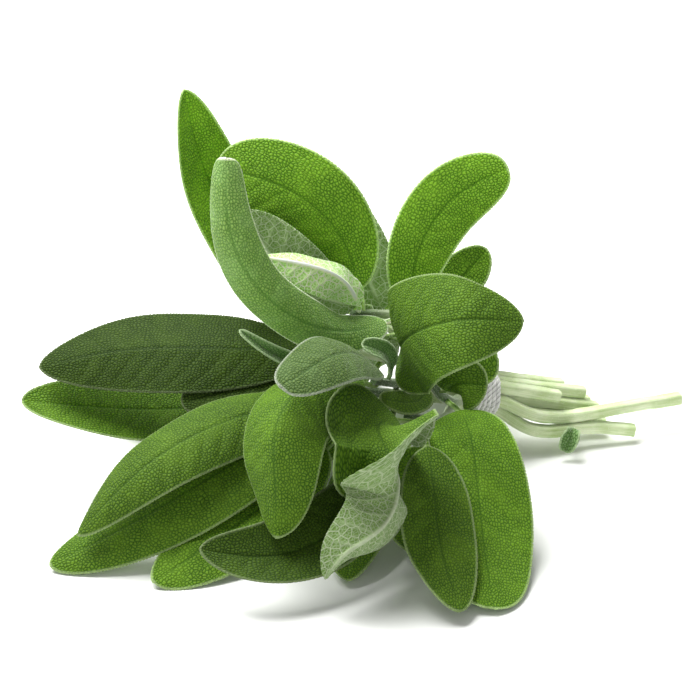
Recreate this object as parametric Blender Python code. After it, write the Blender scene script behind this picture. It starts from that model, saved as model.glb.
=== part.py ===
"""A tied bunch of fresh sage lying on a flat surface: eight cut sprigs, their leaves and the twine.

Run it in Blender 4.5 (blender --background --python part.py, or from the text editor).
Lengths below are millimetres, angles are degrees; the objects are made in metres, +Z up, with the
stems running toward +X and the middle of the bunch's footprint at the origin.
"""

from math import cos, pi, radians, sin

import bpy
import numpy as np

MM = 0.001

# Driving sizes
LEAF_REACH = 109.0  # from the heart of the bunch to the furthest leaf tip
TAIL_REACH = 70.0  # from the tie to the furthest cut end
STEM_RADIUS = 2.0  # from the cut end up to the tie
SHOOT_RADIUS = 1.1  # a stem's radius at its growing tip
BLADE_THICKNESS = 0.6
PETIOLE_THICKNESS = 1.5  # a leaf stalk, which is a little wider than thick
PETIOLE_WIDTH = 1.8
TWINE_DIAMETER = 1.8
TWINE_TURNS = 5
TWINE_END_LENGTH = 16.0
CLEARANCE = 0.3  # between two pieces that touch
STALK_GAP = 1.1  # from a stem's bark to the middle of a leaf stalk's root
SLANT = 0.1  # of a diameter, what a twine end's slanting cut needs beyond the gap

# The bunch was laid out by hand at these sizes; the driving sizes scale the layout.
LAID_OUT_REACH = 109.0
LAID_OUT_TAIL = 70.0
LAID_OUT_PITCH = 4.3
LAID_OUT_TIE = 5.5
SPREAD = LEAF_REACH / LAID_OUT_REACH
TRAIL = TAIL_REACH / LAID_OUT_TAIL

# Where the stems pass the tie, from the heart of the bunch, and the way they point there. They are
# straight under the twine, and a longer tie takes its extra length from the tails.
TIE_DIRECTION = np.array([0.967, -0.039, -0.273])
TIE_HALF_LENGTH = TWINE_TURNS * TWINE_DIAMETER / 2 + 1.0
LONGER_TIE = (TIE_HALF_LENGTH - LAID_OUT_TIE) * TIE_DIRECTION
TIE = np.array([43.9, 12.5, -23.0]) * SPREAD + LONGER_TIE
STEM_PITCH = 2 * STEM_RADIUS + CLEARANCE

# Each stem: its place in the bundle (across, up) in pitches, its head's points from the heart,
# and either the length of a straight tail or the tail's points from the tie, cut end first.
STEMS = {
    "A": dict(place=(0.5, 0.87), tail=38, head=[(23, 15, 3), (0, 13, 12)]),
    "B": dict(place=(-0.5, 0.87), tail=[(26, -4.5, -3.6)], head=[(24, 14, -11), (-5, 6, 3)]),
    "C": dict(place=(0.56, -0.87), tail=[(43, -4.5, -16.5)], head=[(21, 7, -17), (-12, -4, -4)]),
    "D": dict(place=(0, 0), tail=43, head=[(25, 7, -15), (-3, -12, 1)]),
    "E": dict(
        place=(-0.5, -0.87),
        tail=[(50, -12, -17), (32, -9, -14), (13, -7, -11)],
        head=[(25, -4, -20), (4, -21, -8)],
    ),
    "F": dict(
        place=(-1, 0), tail=[(68, -9, -10), (40, -8, -10), (13, -6, -6)], head=[(31, 3, -19), (16, -8, -3)]
    ),
    "G": dict(place=(1.05, 0), tail=42, head=[(30, 19, -12), (15, 4, 5)]),
    "H": dict(place=(1.6, 0.87), tail=32, head=[(33, 29, -14), (18, 29, -2)]),
}

# Each leaf: the sprig it grows on, how far down from that sprig's tip, the points its midrib passes
# from the heart, and where its upper face looks (heading, height and, where given, the share of the
# way to the tip). A leaf on a tail has "up", its distance from the cut end, and its points are from
# the tie. Fold lifts the two halves (left, right seen from above) about the midrib, curl
# rolls them on toward the margins, and outline is how full the blade is toward base and tip.
LEAVES = [
    dict(
        name="leaf_tall_back", sprig="A", down=10, width=25, petiole=0.1,
        route=[(-10, 30, 6), (-27, 41, 31), (-35, 49, 54), (-40, 49, 78)],
        face=[(-87, 30), (-79, 20)],
        fold=(18, 18), curl=(5, 5), outline=(0.6, 0.6),
    ),
    dict(
        name="leaf_top_broad", sprig="A", down=4, width=28, petiole=0.08,
        route=[(1, 21, 32), (-11, 28, 47), (-33, 41, 55)],
        face=[(-142, 30), (-120, 22), (-114, 30)],
        fold=(4, 4), curl=(-15, -15), outline=(0.55, 0.42),
    ),
    dict(
        name="leaf_rolled_upright", sprig="A", down=14, width=18, petiole=0.05,
        route=[(-15, -2, 16), (-35, -2, 32), (-43, 2, 53), (-41, 8, 70)],
        face=[(-120, 45), (-120, 20), (-120, 15)],
        fold=((-5, -10), (-5, -10)), curl=((-25, -75), (-25, -75)), outline=(0.35, 0.22),
    ),
    dict(
        name="leaf_pale_underside", sprig="A", down=2, width=16, petiole=0.06,
        route=[(-7, 6, 28), (-31, 10, 37)],
        face=[(58, -40), (58, -40)],
        fold=(50, 10), curl=(5, 5), outline=(0.6, 0.6),
    ),
    dict(
        name="leaf_behind_pale", sprig="A", down=8, width=24, petiole=0.1,
        route=[(-11, 19, 19), (-30, 27, 45)],
        face=[(68, 0), (68, 0)],
        fold=(5, 5), curl=(10, 10), outline=(0.6, 0.6),
    ),
    dict(
        name="leaf_upper_right", sprig="G", down=3, width=21, petiole=0.06,
        route=[(19, 5, 34), (29, 5, 48), (44, -3, 59)],
        face=[(-117, 20), (-102, 25)],
        fold=(5, 5), curl=(-15, -15), outline=(0.65, 0.42),
    ),
    dict(
        name="leaf_right_hood", sprig="G", down=6, width=35, petiole=0.19,
        route=[(5, -14, 12), (4, -30, 24), (12, -42, 31), (30, -44, 28)],
        face=[(-132, 20), (-120, 30), (-107, 40), (-107, 40)],
        fold=(5, 5), curl=(-30, -25), outline=(0.3, 0.55),
    ),
    dict(
        name="leaf_right_small", sprig="G", down=9, width=15, petiole=0.1,
        route=[(33, 13, 14), (44, 10, 28)],
        face=[(-112, 30), (-112, 30)],
        fold=(10, 10), curl=(0, 0), outline=(0.6, 0.5),
    ),
    dict(
        name="leaf_right_tucked", sprig="F", down=9, width=17, petiole=0.1,
        route=[(24, -14, -4), (31, -20, -3)],
        face=[(-102, 20), (-92, 10)],
        fold=(5, 5), curl=(0, 0), outline=(0.6, 0.5),
    ),
    dict(
        name="leaf_right_tucked_rear", sprig="F", down=12, width=14, petiole=0.1,
        route=[(30, -1, -4.5), (35.5, 0, -4), (36.5, -3, -12)],
        face=[(-112, 30), (-112, 30)],
        fold=(5, 5), curl=(0, 0), outline=(0.6, 0.5),
    ),
    dict(
        name="leaf_left_long", sprig="B", down=4, width=29, petiole=0.1,
        route=[(-43, 20, 5), (-70, 35, 2), (-91, 43, -3)],
        face=[(-112, 55), (-112, 55)],
        fold=(-8, -8), curl=(-10, -10), outline=(0.6, 0.6),
    ),
    dict(
        name="leaf_left_lower", sprig="B", down=12, width=27, petiole=0.12,
        route=[(-44, 29, -19), (-77, 36, -16), (-98, 40, -12)],
        face=[(-112, 65), (-112, 65)],
        fold=(5, 5), curl=(0, 0), outline=(0.6, 0.55),
    ),
    dict(
        name="leaf_left_inner", sprig="B", down=8, width=18, petiole=0.1,
        route=[(-34, 10, -4), (-55, 14, -9)],
        face=[(-112, 45), (-112, 45)],
        fold=(5, 5), curl=(0, 0), outline=(0.6, 0.5),
    ),
    dict(
        name="leaf_front_left_upper", sprig="C", down=4, width=25, petiole=0.08,
        route=[(-49, -8, -6), (-75, -13, -13), (-96, -12, -32)],
        face=[(-127, 60), (-132, 60)],
        fold=(0, 0), curl=(-40, -40), outline=(0.45, 0.65),
    ),
    dict(
        name="leaf_front_left_middle", sprig="C", down=8, width=27, petiole=0.1,
        route=[(-47, -13, -17), (-74, -14, -28), (-104, -9, -42)],
        face=[(-120, 55), (-120, 60)],
        fold=(0, 0), curl=(-35, -35), outline=(0.5, 0.55),
    ),
    dict(
        name="leaf_front_left_lower", sprig="C", down=15, width=25, petiole=0.25,
        route=[(-41, -20, -29), (-60, -26, -35), (-79, -30, -42)],
        face=[(-127, 50), (-132, 45)],
        fold=(0, 0), curl=(-25, -25), outline=(0.55, 0.55),
    ),
    dict(
        name="leaf_front_floor", sprig="D", down=14, width=24, petiole=0.3,
        route=[(-24, -42, -27), (-48, -48, -30), (-69, -43, -26)],
        face=[(-112, 50), (-112, 50)],
        fold=(10, 10), curl=(15, 15), outline=(0.5, 0.6),
    ),
    dict(
        name="leaf_front_hanging", sprig="D", down=4, width=31, petiole=0.08,
        route=[(-32, -28, 11), (-44, -39, 6), (-47, -46, -9), (-48, -48, -24)],
        face=[(-112, 60), (-112, 40), (-112, 30)],
        fold=(0, -38), curl=(-20, -30), outline=(0.5, 0.5),
    ),
    dict(
        name="leaf_front_crown", sprig="D", down=2, width=19, petiole=0.12,
        route=[(-25, -33, 22), (-43, -41, 19)],
        face=[(-120, 55), (-120, 45)],
        fold=(0, 0), curl=(-25, -25), outline=(0.45, 0.4),
    ),
    dict(
        name="leaf_front_twisted", sprig="E", down=1, width=36, petiole=0.12,
        route=[(-13.5, -41.5, -1), (-14, -56, -8), (-22, -64, -18), (-34, -65, -24), (-39, -64, -31)],
        face=[(-107, 50, 0), (-117, 45, 0.42), (168, 10, 0.52), (88, -25, 0.62), (68, -35, 1)],
        fold=(5, (5, 55)), curl=(10, (10, 60)), outline=(0.45, 0.75),
    ),
    dict(
        name="leaf_front_right_inner", sprig="E", down=7, width=23, petiole=0.25,
        route=[(7, -27, -9), (2.5, -43, -15), (-3.5, -64, -29), (-5, -81.5, -39.5)],
        face=[(-107, 45), (-97, 40)],
        fold=(-18, 5), curl=(15, 15), outline=(0.55, 0.6),
    ),
    dict(
        name="leaf_front_right_outer", sprig="F", down=15, width=33, petiole=0.15,
        route=[(21, -28, -12), (13.5, -55, -31), (6, -80, -42)],
        face=[(-107, 45), (-102, 40)],
        fold=(-10, 5), curl=(-5, -5), outline=(0.42, 0.45),
    ),
    dict(
        name="leaf_centre_dark", sprig="F", down=2, width=9, petiole=0.1,
        route=[(9, -17, -5.6), (-4, -19, -1.4)],
        face=[(-112, 60), (-112, 50)],
        fold=(0, 0), curl=(0, -20), outline=(0.5, 0.5),
    ),
    dict(
        name="young_leaf_left", sprig="B", down=1, width=7, petiole=0.1,
        route=[(-24, -6, 7), (-34, -8, 14), (-43, -6, 22)],
        face=[(-122, 50), (-122, 40)],
        fold=(40, 40), curl=(10, 10), outline=(0.5, 0.5),
    ),
    dict(
        name="young_leaf_centre", sprig="D", down=8, width=7, petiole=0.1,
        route=[(-1, -14, 11), (-8, -14.5, 15)],
        face=[(-92, 50), (-112, 40)],
        fold=(20, 20), curl=(10, 10), outline=(0.5, 0.4),
    ),
    dict(
        name="young_leaf_on_stem", sprig="E", up=23, width=7, petiole=0.2,
        route=[(26.6, -14.1, -11.6), (23.1, -15.1, -18)],
        face=[(-112, 30), (-112, 30)],
        fold=(30, 30), curl=(10, 10), outline=(0.5, 0.5),
    ),
    dict(
        name="leaf_inner_front", sprig="E", down=20, width=22, petiole=0.15,
        route=[(-6, -18, -29), (-17, -31, -36), (-27, -50, -42)],
        face=[(-112, 30), (-112, 30)],
        fold=(5, 5), curl=(0, 0), outline=(0.5, 0.6),
    ),
    dict(
        name="leaf_inner_left", sprig="C", down=21, width=25, petiole=0.15,
        route=[(-27, 1, -24), (-43, -6, -29), (-59, -13, -35)],
        face=[(-112, 50), (-112, 50)],
        fold=(0, 0), curl=(-10, -10), outline=(0.5, 0.6),
    ),
    dict(
        name="leaf_inner_lower_left", sprig="B", down=18, width=18, petiole=0.15,
        route=[(-17, 8, -24), (-38, 12, -33), (-58, 16, -38)],
        face=[(-112, 60), (-112, 60)],
        fold=(0, 0), curl=(0, 0), outline=(0.5, 0.6),
    ),
    dict(
        name="leaf_inner_right", sprig="E", down=18, width=24, petiole=0.15,
        route=[(8, -22, -27), (2, -36, -35), (-3, -49, -40)],
        face=[(-107, 40), (-107, 40)],
        fold=(0, 0), curl=(0, 0), outline=(0.5, 0.6),
    ),
    dict(
        name="leaf_rear_top", sprig="H", down=4, width=26, petiole=0.08,
        route=[(18, 50, 5), (16, 68, 4), (14, 82, -12)],
        face=[(78, 70), (78, 50), (78, 30)],
        fold=(5, 5), curl=(-15, -15), outline=(0.55, 0.5),
    ),
    dict(
        name="leaf_rear_right", sprig="H", down=17, width=24, petiole=0.1,
        route=[(33, 40, -8), (43, 51, -20), (52, 61, -37)],
        face=[(58, 60), (48, 40)],
        fold=(0, 0), curl=(-15, -15), outline=(0.55, 0.5),
    ),
    dict(
        name="leaf_rear_middle", sprig="H", down=14, width=26, petiole=0.12,
        route=[(21, 50, -15), (23, 64, -29), (24, 79, -40)],
        face=[(68, 60), (68, 50)],
        fold=(5, 5), curl=(-10, -10), outline=(0.55, 0.5),
    ),
    dict(
        name="leaf_rear_left_arching", sprig="A", down=21, width=26, petiole=0.1,
        route=[(-2, 38, 0), (-14, 58, -10), (-22, 75, -32)],
        face=[(108, 60), (108, 40)],
        fold=(5, 5), curl=(-15, -15), outline=(0.5, 0.55),
    ),
    dict(
        name="leaf_rear_left_low", sprig="B", down=16, width=26, petiole=0.12,
        route=[(-23, 37, -5), (-42, 56, -20), (-62, 73, -33)],
        face=[(88, 70), (98, 60)],
        fold=(5, 5), curl=(-10, -10), outline=(0.5, 0.55),
    ),
    dict(
        name="leaf_rear_upright", sprig="H", down=1, width=24, petiole=0.08,
        route=[(12, 38, 19), (6, 50, 32), (0, 54, 44)],
        face=[(68, 10), (68, 20)],
        fold=(8, 8), curl=(10, 10), outline=(0.55, 0.45),
    ),
    dict(
        name="leaf_under_stems", sprig="E", down=24, width=20, petiole=0.12,
        route=[(19, -10, -25), (28, 0, -37), (36, 11, -42)],
        face=[(-82, 60), (58, 80)],
        fold=(0, 0), curl=(0, 0), outline=(0.5, 0.5),
    ),
    dict(
        name="leaf_rear_left_upper", sprig="A", down=16, width=18, petiole=0.1,
        route=[(3, 35, 6), (-6, 51, 11), (-16, 61, 3)],
        face=[(108, 50), (98, 40)],
        fold=(8, 8), curl=(-10, -10), outline=(0.55, 0.5),
    ),
    dict(
        name="leaf_rear_right_upper", sprig="H", down=14, width=24, petiole=0.1,
        route=[(34, 26, 6), (47, 33, 5), (57, 39, -5)],
        face=[(38, 60), (28, 40)],
        fold=(5, 5), curl=(-10, -10), outline=(0.55, 0.5),
    ),
    dict(
        name="leaf_under_left", sprig="C", down=26, width=24, petiole=0.25,
        route=[(-12, 26, -22), (-27, 42, -33), (-42, 55, -39)],
        face=[(68, 75), (68, 75)],
        fold=(0, 0), curl=(-5, -5), outline=(0.5, 0.55),
    ),
    dict(
        name="leaf_rear_left_floor", sprig="A", down=27, width=24, petiole=0.12,
        route=[(0, 43, -12), (-6, 63, -23), (-13, 78, -39)],
        face=[(98, 60), (98, 45)],
        fold=(5, 5), curl=(-10, -10), outline=(0.5, 0.55),
    ),
    dict(
        name="leaf_rear_high", sprig="H", down=9, width=24, petiole=0.15,
        route=[(34, 43, -2), (43, 57, -6), (50, 71, -21)],
        face=[(58, 70), (58, 40)],
        fold=(5, 5), curl=(-15, -15), outline=(0.5, 0.5),
    ),
]


def unit(vector):
    return np.asarray(vector, float) / np.linalg.norm(vector)


def heading(azimuth, height):
    """The direction that looks along an azimuth from +X toward +Y, raised by a height."""
    flat = cos(radians(height))
    return np.array([flat * cos(radians(azimuth)), flat * sin(radians(azimuth)), sin(radians(height))])


def smooth_curve(points, count):
    """A natural cubic spline through the points, as count points at even distances."""
    points = np.asarray(points, float)
    last = len(points) - 1
    knots = np.concatenate([[0], np.cumsum(np.linalg.norm(np.diff(points, axis=0), axis=1))])
    step = np.diff(knots)
    system = np.eye(last + 1)
    bend = np.zeros((last + 1, 3))
    for i in range(1, last):
        system[i, i - 1 : i + 2] = step[i - 1], 2 * (step[i - 1] + step[i]), step[i]
        bend[i] = 6 * ((points[i + 1] - points[i]) / step[i] - (points[i] - points[i - 1]) / step[i - 1])
    second = np.linalg.solve(system, bend)
    at = np.linspace(0, knots[-1], 4 * count)
    span = np.clip(np.searchsorted(knots, at, side="right") - 1, 0, last - 1)
    before = (at - knots[span])[:, None]
    after = (knots[span + 1] - at)[:, None]
    width = step[span][:, None]
    fine = (second[span] * after**3 + second[span + 1] * before**3) / (6 * width)
    fine += (points[span] / width - second[span] * width / 6) * after
    fine += (points[span + 1] / width - second[span + 1] * width / 6) * before
    return sample(fine, np.linspace(0, 1, count))


def sample(curve, shares):
    """Points of a polyline at shares of its length."""
    length = np.concatenate([[0], np.cumsum(np.linalg.norm(np.diff(curve, axis=0), axis=1))])
    return np.stack([np.interp(np.asarray(shares) * length[-1], length, curve[:, k]) for k in range(3)], 1)


def curve_length(curve):
    return np.linalg.norm(np.diff(curve, axis=0), axis=1).sum()


def bundle_axes():
    """The stems' direction at the tie, and the two directions across the bundle."""
    along = unit(TIE_DIRECTION)
    across = unit(np.cross((0, 0, 1), along))
    return along, across, np.cross(along, across)


def place_in_bundle(place):
    return TIE + beside(place) * STEM_PITCH


def beside(place):
    """A stem's place in the bundle, in pitches from the middle."""
    along, across, up = bundle_axes()
    return across * place[0] + up * place[1]


def stem_curve(stem):
    """A stem's middle line from its cut end, straight through the tie, to its growing tip."""
    along = bundle_axes()[0]
    middle = place_in_bundle(stem["place"])
    wider = beside(stem["place"]) * (STEM_PITCH - LAID_OUT_PITCH)
    tail = stem["tail"]
    if isinstance(tail, list):
        points = [tail_place(point) + wider for point in tail]
    else:
        points = [middle + along * tail * TRAIL]
    points += [middle + along * TIE_HALF_LENGTH, middle, middle - along * TIE_HALF_LENGTH]
    points += [np.multiply(point, SPREAD) + wider for point in stem["head"]]
    return smooth_curve(points, 120)


def tail_place(point):
    """A point given from the tie: its distance along the tails grows with them."""
    return TIE + LONGER_TIE + np.multiply(point, (TRAIL, 1, TRAIL))


def stem_radius(stem, curve, share):
    """The radius at a share of the length: even along the tail, then thinner toward the tip."""
    to_middle = np.linalg.norm(curve - place_in_bundle(stem["place"]), axis=1)
    tie_share = to_middle.argmin() / (len(curve) - 1)
    past_tie = np.clip((np.asarray(share) - tie_share) / (1 - tie_share), 0, 1)
    return STEM_RADIUS + (SHOOT_RADIUS - STEM_RADIUS) * past_tie


def leaf_route(leaf):
    """The points that a leaf's midrib passes. A leaf on a tail has "up", its distance from the cut end."""
    if "up" in leaf:
        return [tail_place(point) for point in leaf["route"]]
    return [np.multiply(point, SPREAD) for point in leaf["route"]]


def leaf_root(leaf, toward):
    """Where a leaf's stalk starts: beside its stem, on the side that the leaf goes to."""
    stem = STEMS[leaf["sprig"]]
    curve = stem_curve(stem)
    if "up" in leaf:
        share = leaf["up"] * TRAIL / curve_length(curve)
    else:
        share = 1 - leaf["down"] * SPREAD / curve_length(curve)
    here, ahead = sample(curve, [share, share + 0.005])
    along = unit(ahead - here)
    side = toward - here
    side = unit(side - side @ along * along)
    return here + side * (stem_radius(stem, curve, share) + STALK_GAP)


def ramp(value, share):
    """A number, or a pair that runs from base to tip."""
    ends = value if isinstance(value, tuple) else (value, value)
    return ends[0] + (ends[1] - ends[0]) * share


def leaf_surface(leaf, share, across):
    """The middle of a leaf's thickness as a grid: share runs from root to tip, across from -1 to 1."""
    route = leaf_route(leaf)
    curve = smooth_curve([leaf_root(leaf, route[0])] + route, 120)
    middle = sample(curve, share)
    slope = np.gradient(curve, axis=0)
    along = sample_directions(slope, share)
    stations = [f[2] for f in leaf["face"]] if len(leaf["face"][0]) > 2 else np.linspace(0, 1, len(leaf["face"]))
    looks = np.array([heading(f[0], f[1]) for f in leaf["face"]])
    up = np.stack([np.interp(share, stations, looks[:, k]) for k in range(3)], 1)
    up -= (up * along).sum(1)[:, None] * along
    up /= np.linalg.norm(up, axis=1)[:, None]
    side = np.cross(along, up)
    blade = np.clip((share - leaf["petiole"]) / (1 - leaf["petiole"]), 0, 1)
    base, tip = leaf["outline"]
    fullest = base / (base + tip)
    half = leaf["width"] / 2 * SPREAD * blade**base * (1 - blade) ** tip / (fullest**base * (1 - fullest) ** tip)
    half = np.hypot(half, PETIOLE_WIDTH / 2)
    opening = np.clip(6 * blade, 0, 1)
    grid = np.zeros((len(share), len(across), 3))
    for j, position in enumerate(across):
        hand = 1 if position > 0 else 0
        fold = np.radians(ramp(leaf["fold"][hand], share)) * opening
        curl = np.radians(ramp(leaf["curl"][hand], share)) * opening
        curl = np.where(np.abs(curl) < 1e-3, 1e-3, curl)
        turned = fold + curl * abs(position)
        out = half * (np.sin(turned) - np.sin(fold)) / curl
        lift = half * (np.cos(fold) - np.cos(turned)) / curl
        grid[:, j] = middle + np.sign(position) * out[:, None] * side + lift[:, None] * up
    return grid


def sample_directions(directions, share):
    at = np.linspace(0, 1, len(directions))
    found = np.stack([np.interp(share, at, directions[:, k]) for k in range(3)], 1)
    return found / np.linalg.norm(found, axis=1)[:, None]


def leaf_stations(leaf, count):
    """Shares of the length for the rows of a leaf's grid, closer together toward both ends of the blade."""
    even = np.linspace(0, 1, count + 1)
    blade = 0.65 * 0.5 * (1 - np.cos(pi * even)) + 0.35 * even
    stalk = leaf["petiole"]
    return np.concatenate([[0, stalk / 2], stalk + (1 - stalk) * blade])


def material(name, colour, roughness):
    made = bpy.data.materials.new(name)
    made.use_nodes = True
    shader = made.node_tree.nodes["Principled BSDF"]
    shader.inputs["Base Color"].default_value = (*colour, 1)
    shader.inputs["Roughness"].default_value = roughness
    shader.inputs["Metallic"].default_value = 0
    return made


def add(name, data, look):
    data.materials.append(look)
    made = bpy.data.objects.new(name, data)
    bpy.context.scene.collection.objects.link(made)
    return made


def grid_faces(rows, columns, closed_rows=False, closed_columns=False):
    faces = []
    for i in range(rows if closed_rows else rows - 1):
        for j in range(columns if closed_columns else columns - 1):
            below, beside = (i + 1) % rows * columns, (j + 1) % columns
            faces.append((i * columns + j, i * columns + beside, below + beside, below + j))
    return faces


def add_leaf(leaf):
    """A leaf as its middle surface, made solid by a Solidify modifier that is thicker along the stalk."""
    large = leaf["width"] >= 18
    share = leaf_stations(leaf, 10 if large else 7)
    across = np.linspace(-1, 1, 7 if large else 5)
    grid = leaf_surface(leaf, share, across)
    mesh = bpy.data.meshes.new(leaf["name"])
    mesh.from_pydata((grid.reshape(-1, 3) * MM).tolist(), [], grid_faces(len(share), len(across)))
    made = add(leaf["name"], mesh, material(leaf["name"] + "_green", (0.11, 0.25, 0.05), 0.6))
    thick = made.vertex_groups.new(name="thickness")
    for i in range(len(share)):
        row = list(range(i * len(across), (i + 1) * len(across)))
        stalk = share[i] < 0.9 * leaf["petiole"]
        thick.add(row, 1.0 if stalk else BLADE_THICKNESS / PETIOLE_THICKNESS, "REPLACE")
    solid = made.modifiers.new("thickness", "SOLIDIFY")
    solid.thickness = PETIOLE_THICKNESS * MM
    solid.offset = 0
    solid.vertex_group = thick.name


def add_tube(name, curve, radii, look):
    """A round tube with filled ends along a polyline."""
    data = bpy.data.curves.new(name, "CURVE")
    data.dimensions = "3D"
    data.bevel_depth = MM
    data.bevel_resolution = 2
    data.use_fill_caps = True
    line = data.splines.new("POLY")
    line.points.add(len(curve) - 1)
    for point, place, radius in zip(line.points, curve * MM, radii):
        point.co = (*place, 1)
        point.radius = radius
    add(name, data, look)


def add_stem(letter, stem):
    curve = stem_curve(stem)
    share = np.linspace(0, 1, round(curve_length(curve) / (3 * STEM_RADIUS)) + 1)
    look = material(f"stem_{letter}_green", (0.55, 0.68, 0.36), 0.6)
    add_tube(f"stem_{letter}", sample(curve, share), stem_radius(stem, curve, share), look)


def bundle_outline(reach, count):
    """Points around the bundle at a distance from the stems' middles, with the way each looks out."""
    along, across, up = bundle_axes()
    middles = np.array([place_in_bundle(stem["place"]) for stem in STEMS.values()])
    outline = []
    for turn in np.linspace(0, 2 * pi, 720, endpoint=False):
        out = cos(turn) * across + sin(turn) * up
        outline.append(middles[(middles @ out).argmax()] + out * reach)
    closed = np.array(outline + outline[:1])
    points = sample(closed, np.linspace(0, 1, count, endpoint=False))
    tangent = np.roll(points, -1, axis=0) - np.roll(points, 1, axis=0)
    outward = np.cross(tangent, along)
    return points, outward / np.linalg.norm(outward, axis=1)[:, None]


def add_twine_band(look):
    """The wound turns as one ring: flat toward the stems, with a ridge for each turn outside."""
    along = bundle_axes()[0]
    half = TWINE_TURNS * TWINE_DIAMETER / 2
    profile = [(half, 0), (-half, 0)]
    for k in range(TWINE_TURNS):
        start = -half + k * TWINE_DIAMETER
        profile += [(start, 0.6 * TWINE_DIAMETER), (start + TWINE_DIAMETER / 2, TWINE_DIAMETER)]
    profile.append((half, 0.6 * TWINE_DIAMETER))
    inner, outward = bundle_outline(STEM_RADIUS + CLEARANCE, 36)
    rings = [inner + along * a + outward * rise for a, rise in profile]
    points = np.stack(rings, 1).reshape(-1, 3)
    mesh = bpy.data.meshes.new("twine_band")
    faces = grid_faces(len(inner), len(profile), True, True)
    mesh.from_pydata((points * MM).tolist(), [], faces)
    made = add("twine_band", mesh, look)
    if signed_volume(points, faces) < 0:
        made.data.flip_normals()


def signed_volume(points, faces):
    """Six times the volume inside a closed mesh of four-sided faces, below zero if it is inside out."""
    a, b, c, d = points[np.array(faces)].transpose(1, 0, 2)
    return (a * (np.cross(b, c) + np.cross(c, d))).sum()


def knot_place():
    """The middle of the knot, outside the band on the side away from the leaves' open front."""
    along, across, up = bundle_axes()
    out = unit(across + 0.4 * up)
    middles = [place_in_bundle(stem["place"]) for stem in STEMS.values()]
    reach = max((middle - TIE) @ out for middle in middles) + STEM_RADIUS
    return TIE + out * (reach + TWINE_DIAMETER + 2 * CLEARANCE + 1.3 * TWINE_DIAMETER), out


def add_knot(look):
    """The knot as a rounded lump, and its two ends hanging from it."""
    middle, out = knot_place()
    along, across, up = bundle_axes()
    bpy.ops.mesh.primitive_uv_sphere_add(segments=12, ring_count=8, radius=1, location=(0, 0, 0))
    knot = bpy.context.object
    knot.name = knot.data.name = "twine_knot"
    size = np.array([1.7, 1.2, 1.2]) * TWINE_DIAMETER
    frame = np.stack([along, out, np.cross(along, out)], 1)
    for vertex in knot.data.vertices:
        vertex.co = (frame @ (size * vertex.co) + middle) * MM
    knot.data.materials.append(look)
    for hand, name in ((1, "twine_end_long"), (-1, "twine_end_short")):
        start = middle + along * hand * (size[0] + CLEARANCE + SLANT * TWINE_DIAMETER)
        length = TWINE_END_LENGTH * (1 if hand > 0 else 0.8)
        turn = start + along * hand * 0.35 * length + out * 0.3 * length
        end = turn + out * 0.2 * length + along * hand * 0.1 * length - np.array([0, 0, 0.6 * length])
        curve = smooth_curve([start, turn, end], 9)
        add_tube(name, curve, np.full(9, TWINE_DIAMETER / 2), look)


def settle():
    """Moves everything so that the lowest point is on the floor and the footprint's middle is the origin."""
    bpy.context.view_layer.update()
    graph = bpy.context.evaluated_depsgraph_get()
    corners = []
    for made in bpy.context.scene.objects:
        mesh = made.evaluated_get(graph).to_mesh()
        points = np.empty(3 * len(mesh.vertices), np.float32)
        mesh.vertices.foreach_get("co", points)
        corners += [points.reshape(-1, 3).min(0), points.reshape(-1, 3).max(0)]
    low, high = np.min(corners, axis=0), np.max(corners, axis=0)
    for made in bpy.context.scene.objects:
        made.location = (-(low[0] + high[0]) / 2, -(low[1] + high[1]) / 2, -low[2])


def main():
    for old in list(bpy.data.objects):
        bpy.data.objects.remove(old)
    for letter, stem in STEMS.items():
        add_stem(letter, stem)
    for leaf in LEAVES:
        add_leaf(leaf)
    twine = material("white_cotton_twine", (0.85, 0.83, 0.78), 0.9)
    add_twine_band(twine)
    add_knot(twine)
    settle()


main()
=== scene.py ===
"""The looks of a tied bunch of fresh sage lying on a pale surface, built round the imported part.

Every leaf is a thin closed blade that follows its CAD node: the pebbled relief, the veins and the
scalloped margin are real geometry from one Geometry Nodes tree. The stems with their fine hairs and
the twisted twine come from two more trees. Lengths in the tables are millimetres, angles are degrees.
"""

from math import cos, pi, radians, sin

import bpy
import numpy as np
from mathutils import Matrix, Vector


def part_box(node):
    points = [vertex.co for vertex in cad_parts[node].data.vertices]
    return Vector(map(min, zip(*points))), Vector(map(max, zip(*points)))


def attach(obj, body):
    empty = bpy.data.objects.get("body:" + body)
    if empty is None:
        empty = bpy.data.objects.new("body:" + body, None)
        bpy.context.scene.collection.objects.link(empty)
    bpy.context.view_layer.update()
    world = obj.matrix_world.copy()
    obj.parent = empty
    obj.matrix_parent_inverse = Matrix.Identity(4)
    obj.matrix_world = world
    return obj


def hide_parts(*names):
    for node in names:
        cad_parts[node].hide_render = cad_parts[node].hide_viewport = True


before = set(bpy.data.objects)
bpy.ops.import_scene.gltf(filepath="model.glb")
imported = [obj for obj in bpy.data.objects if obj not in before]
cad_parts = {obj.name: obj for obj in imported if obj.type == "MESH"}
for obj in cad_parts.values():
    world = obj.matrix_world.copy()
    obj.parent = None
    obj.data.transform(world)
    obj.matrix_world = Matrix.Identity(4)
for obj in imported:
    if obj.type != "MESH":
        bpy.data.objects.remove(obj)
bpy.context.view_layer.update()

bl_info = {
    "name": "Tied Sage Bunch",
    "version": (1, 0, 0),
    "blender": (4, 5, 0),
    "location": "View3D > Sidebar > Sage Bunch",
    "description": "Builds a tied bunch of fresh sage: leaves, stems, twine and a plain pale stage",
    "category": "Object",
}

MM = 0.001

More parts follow.
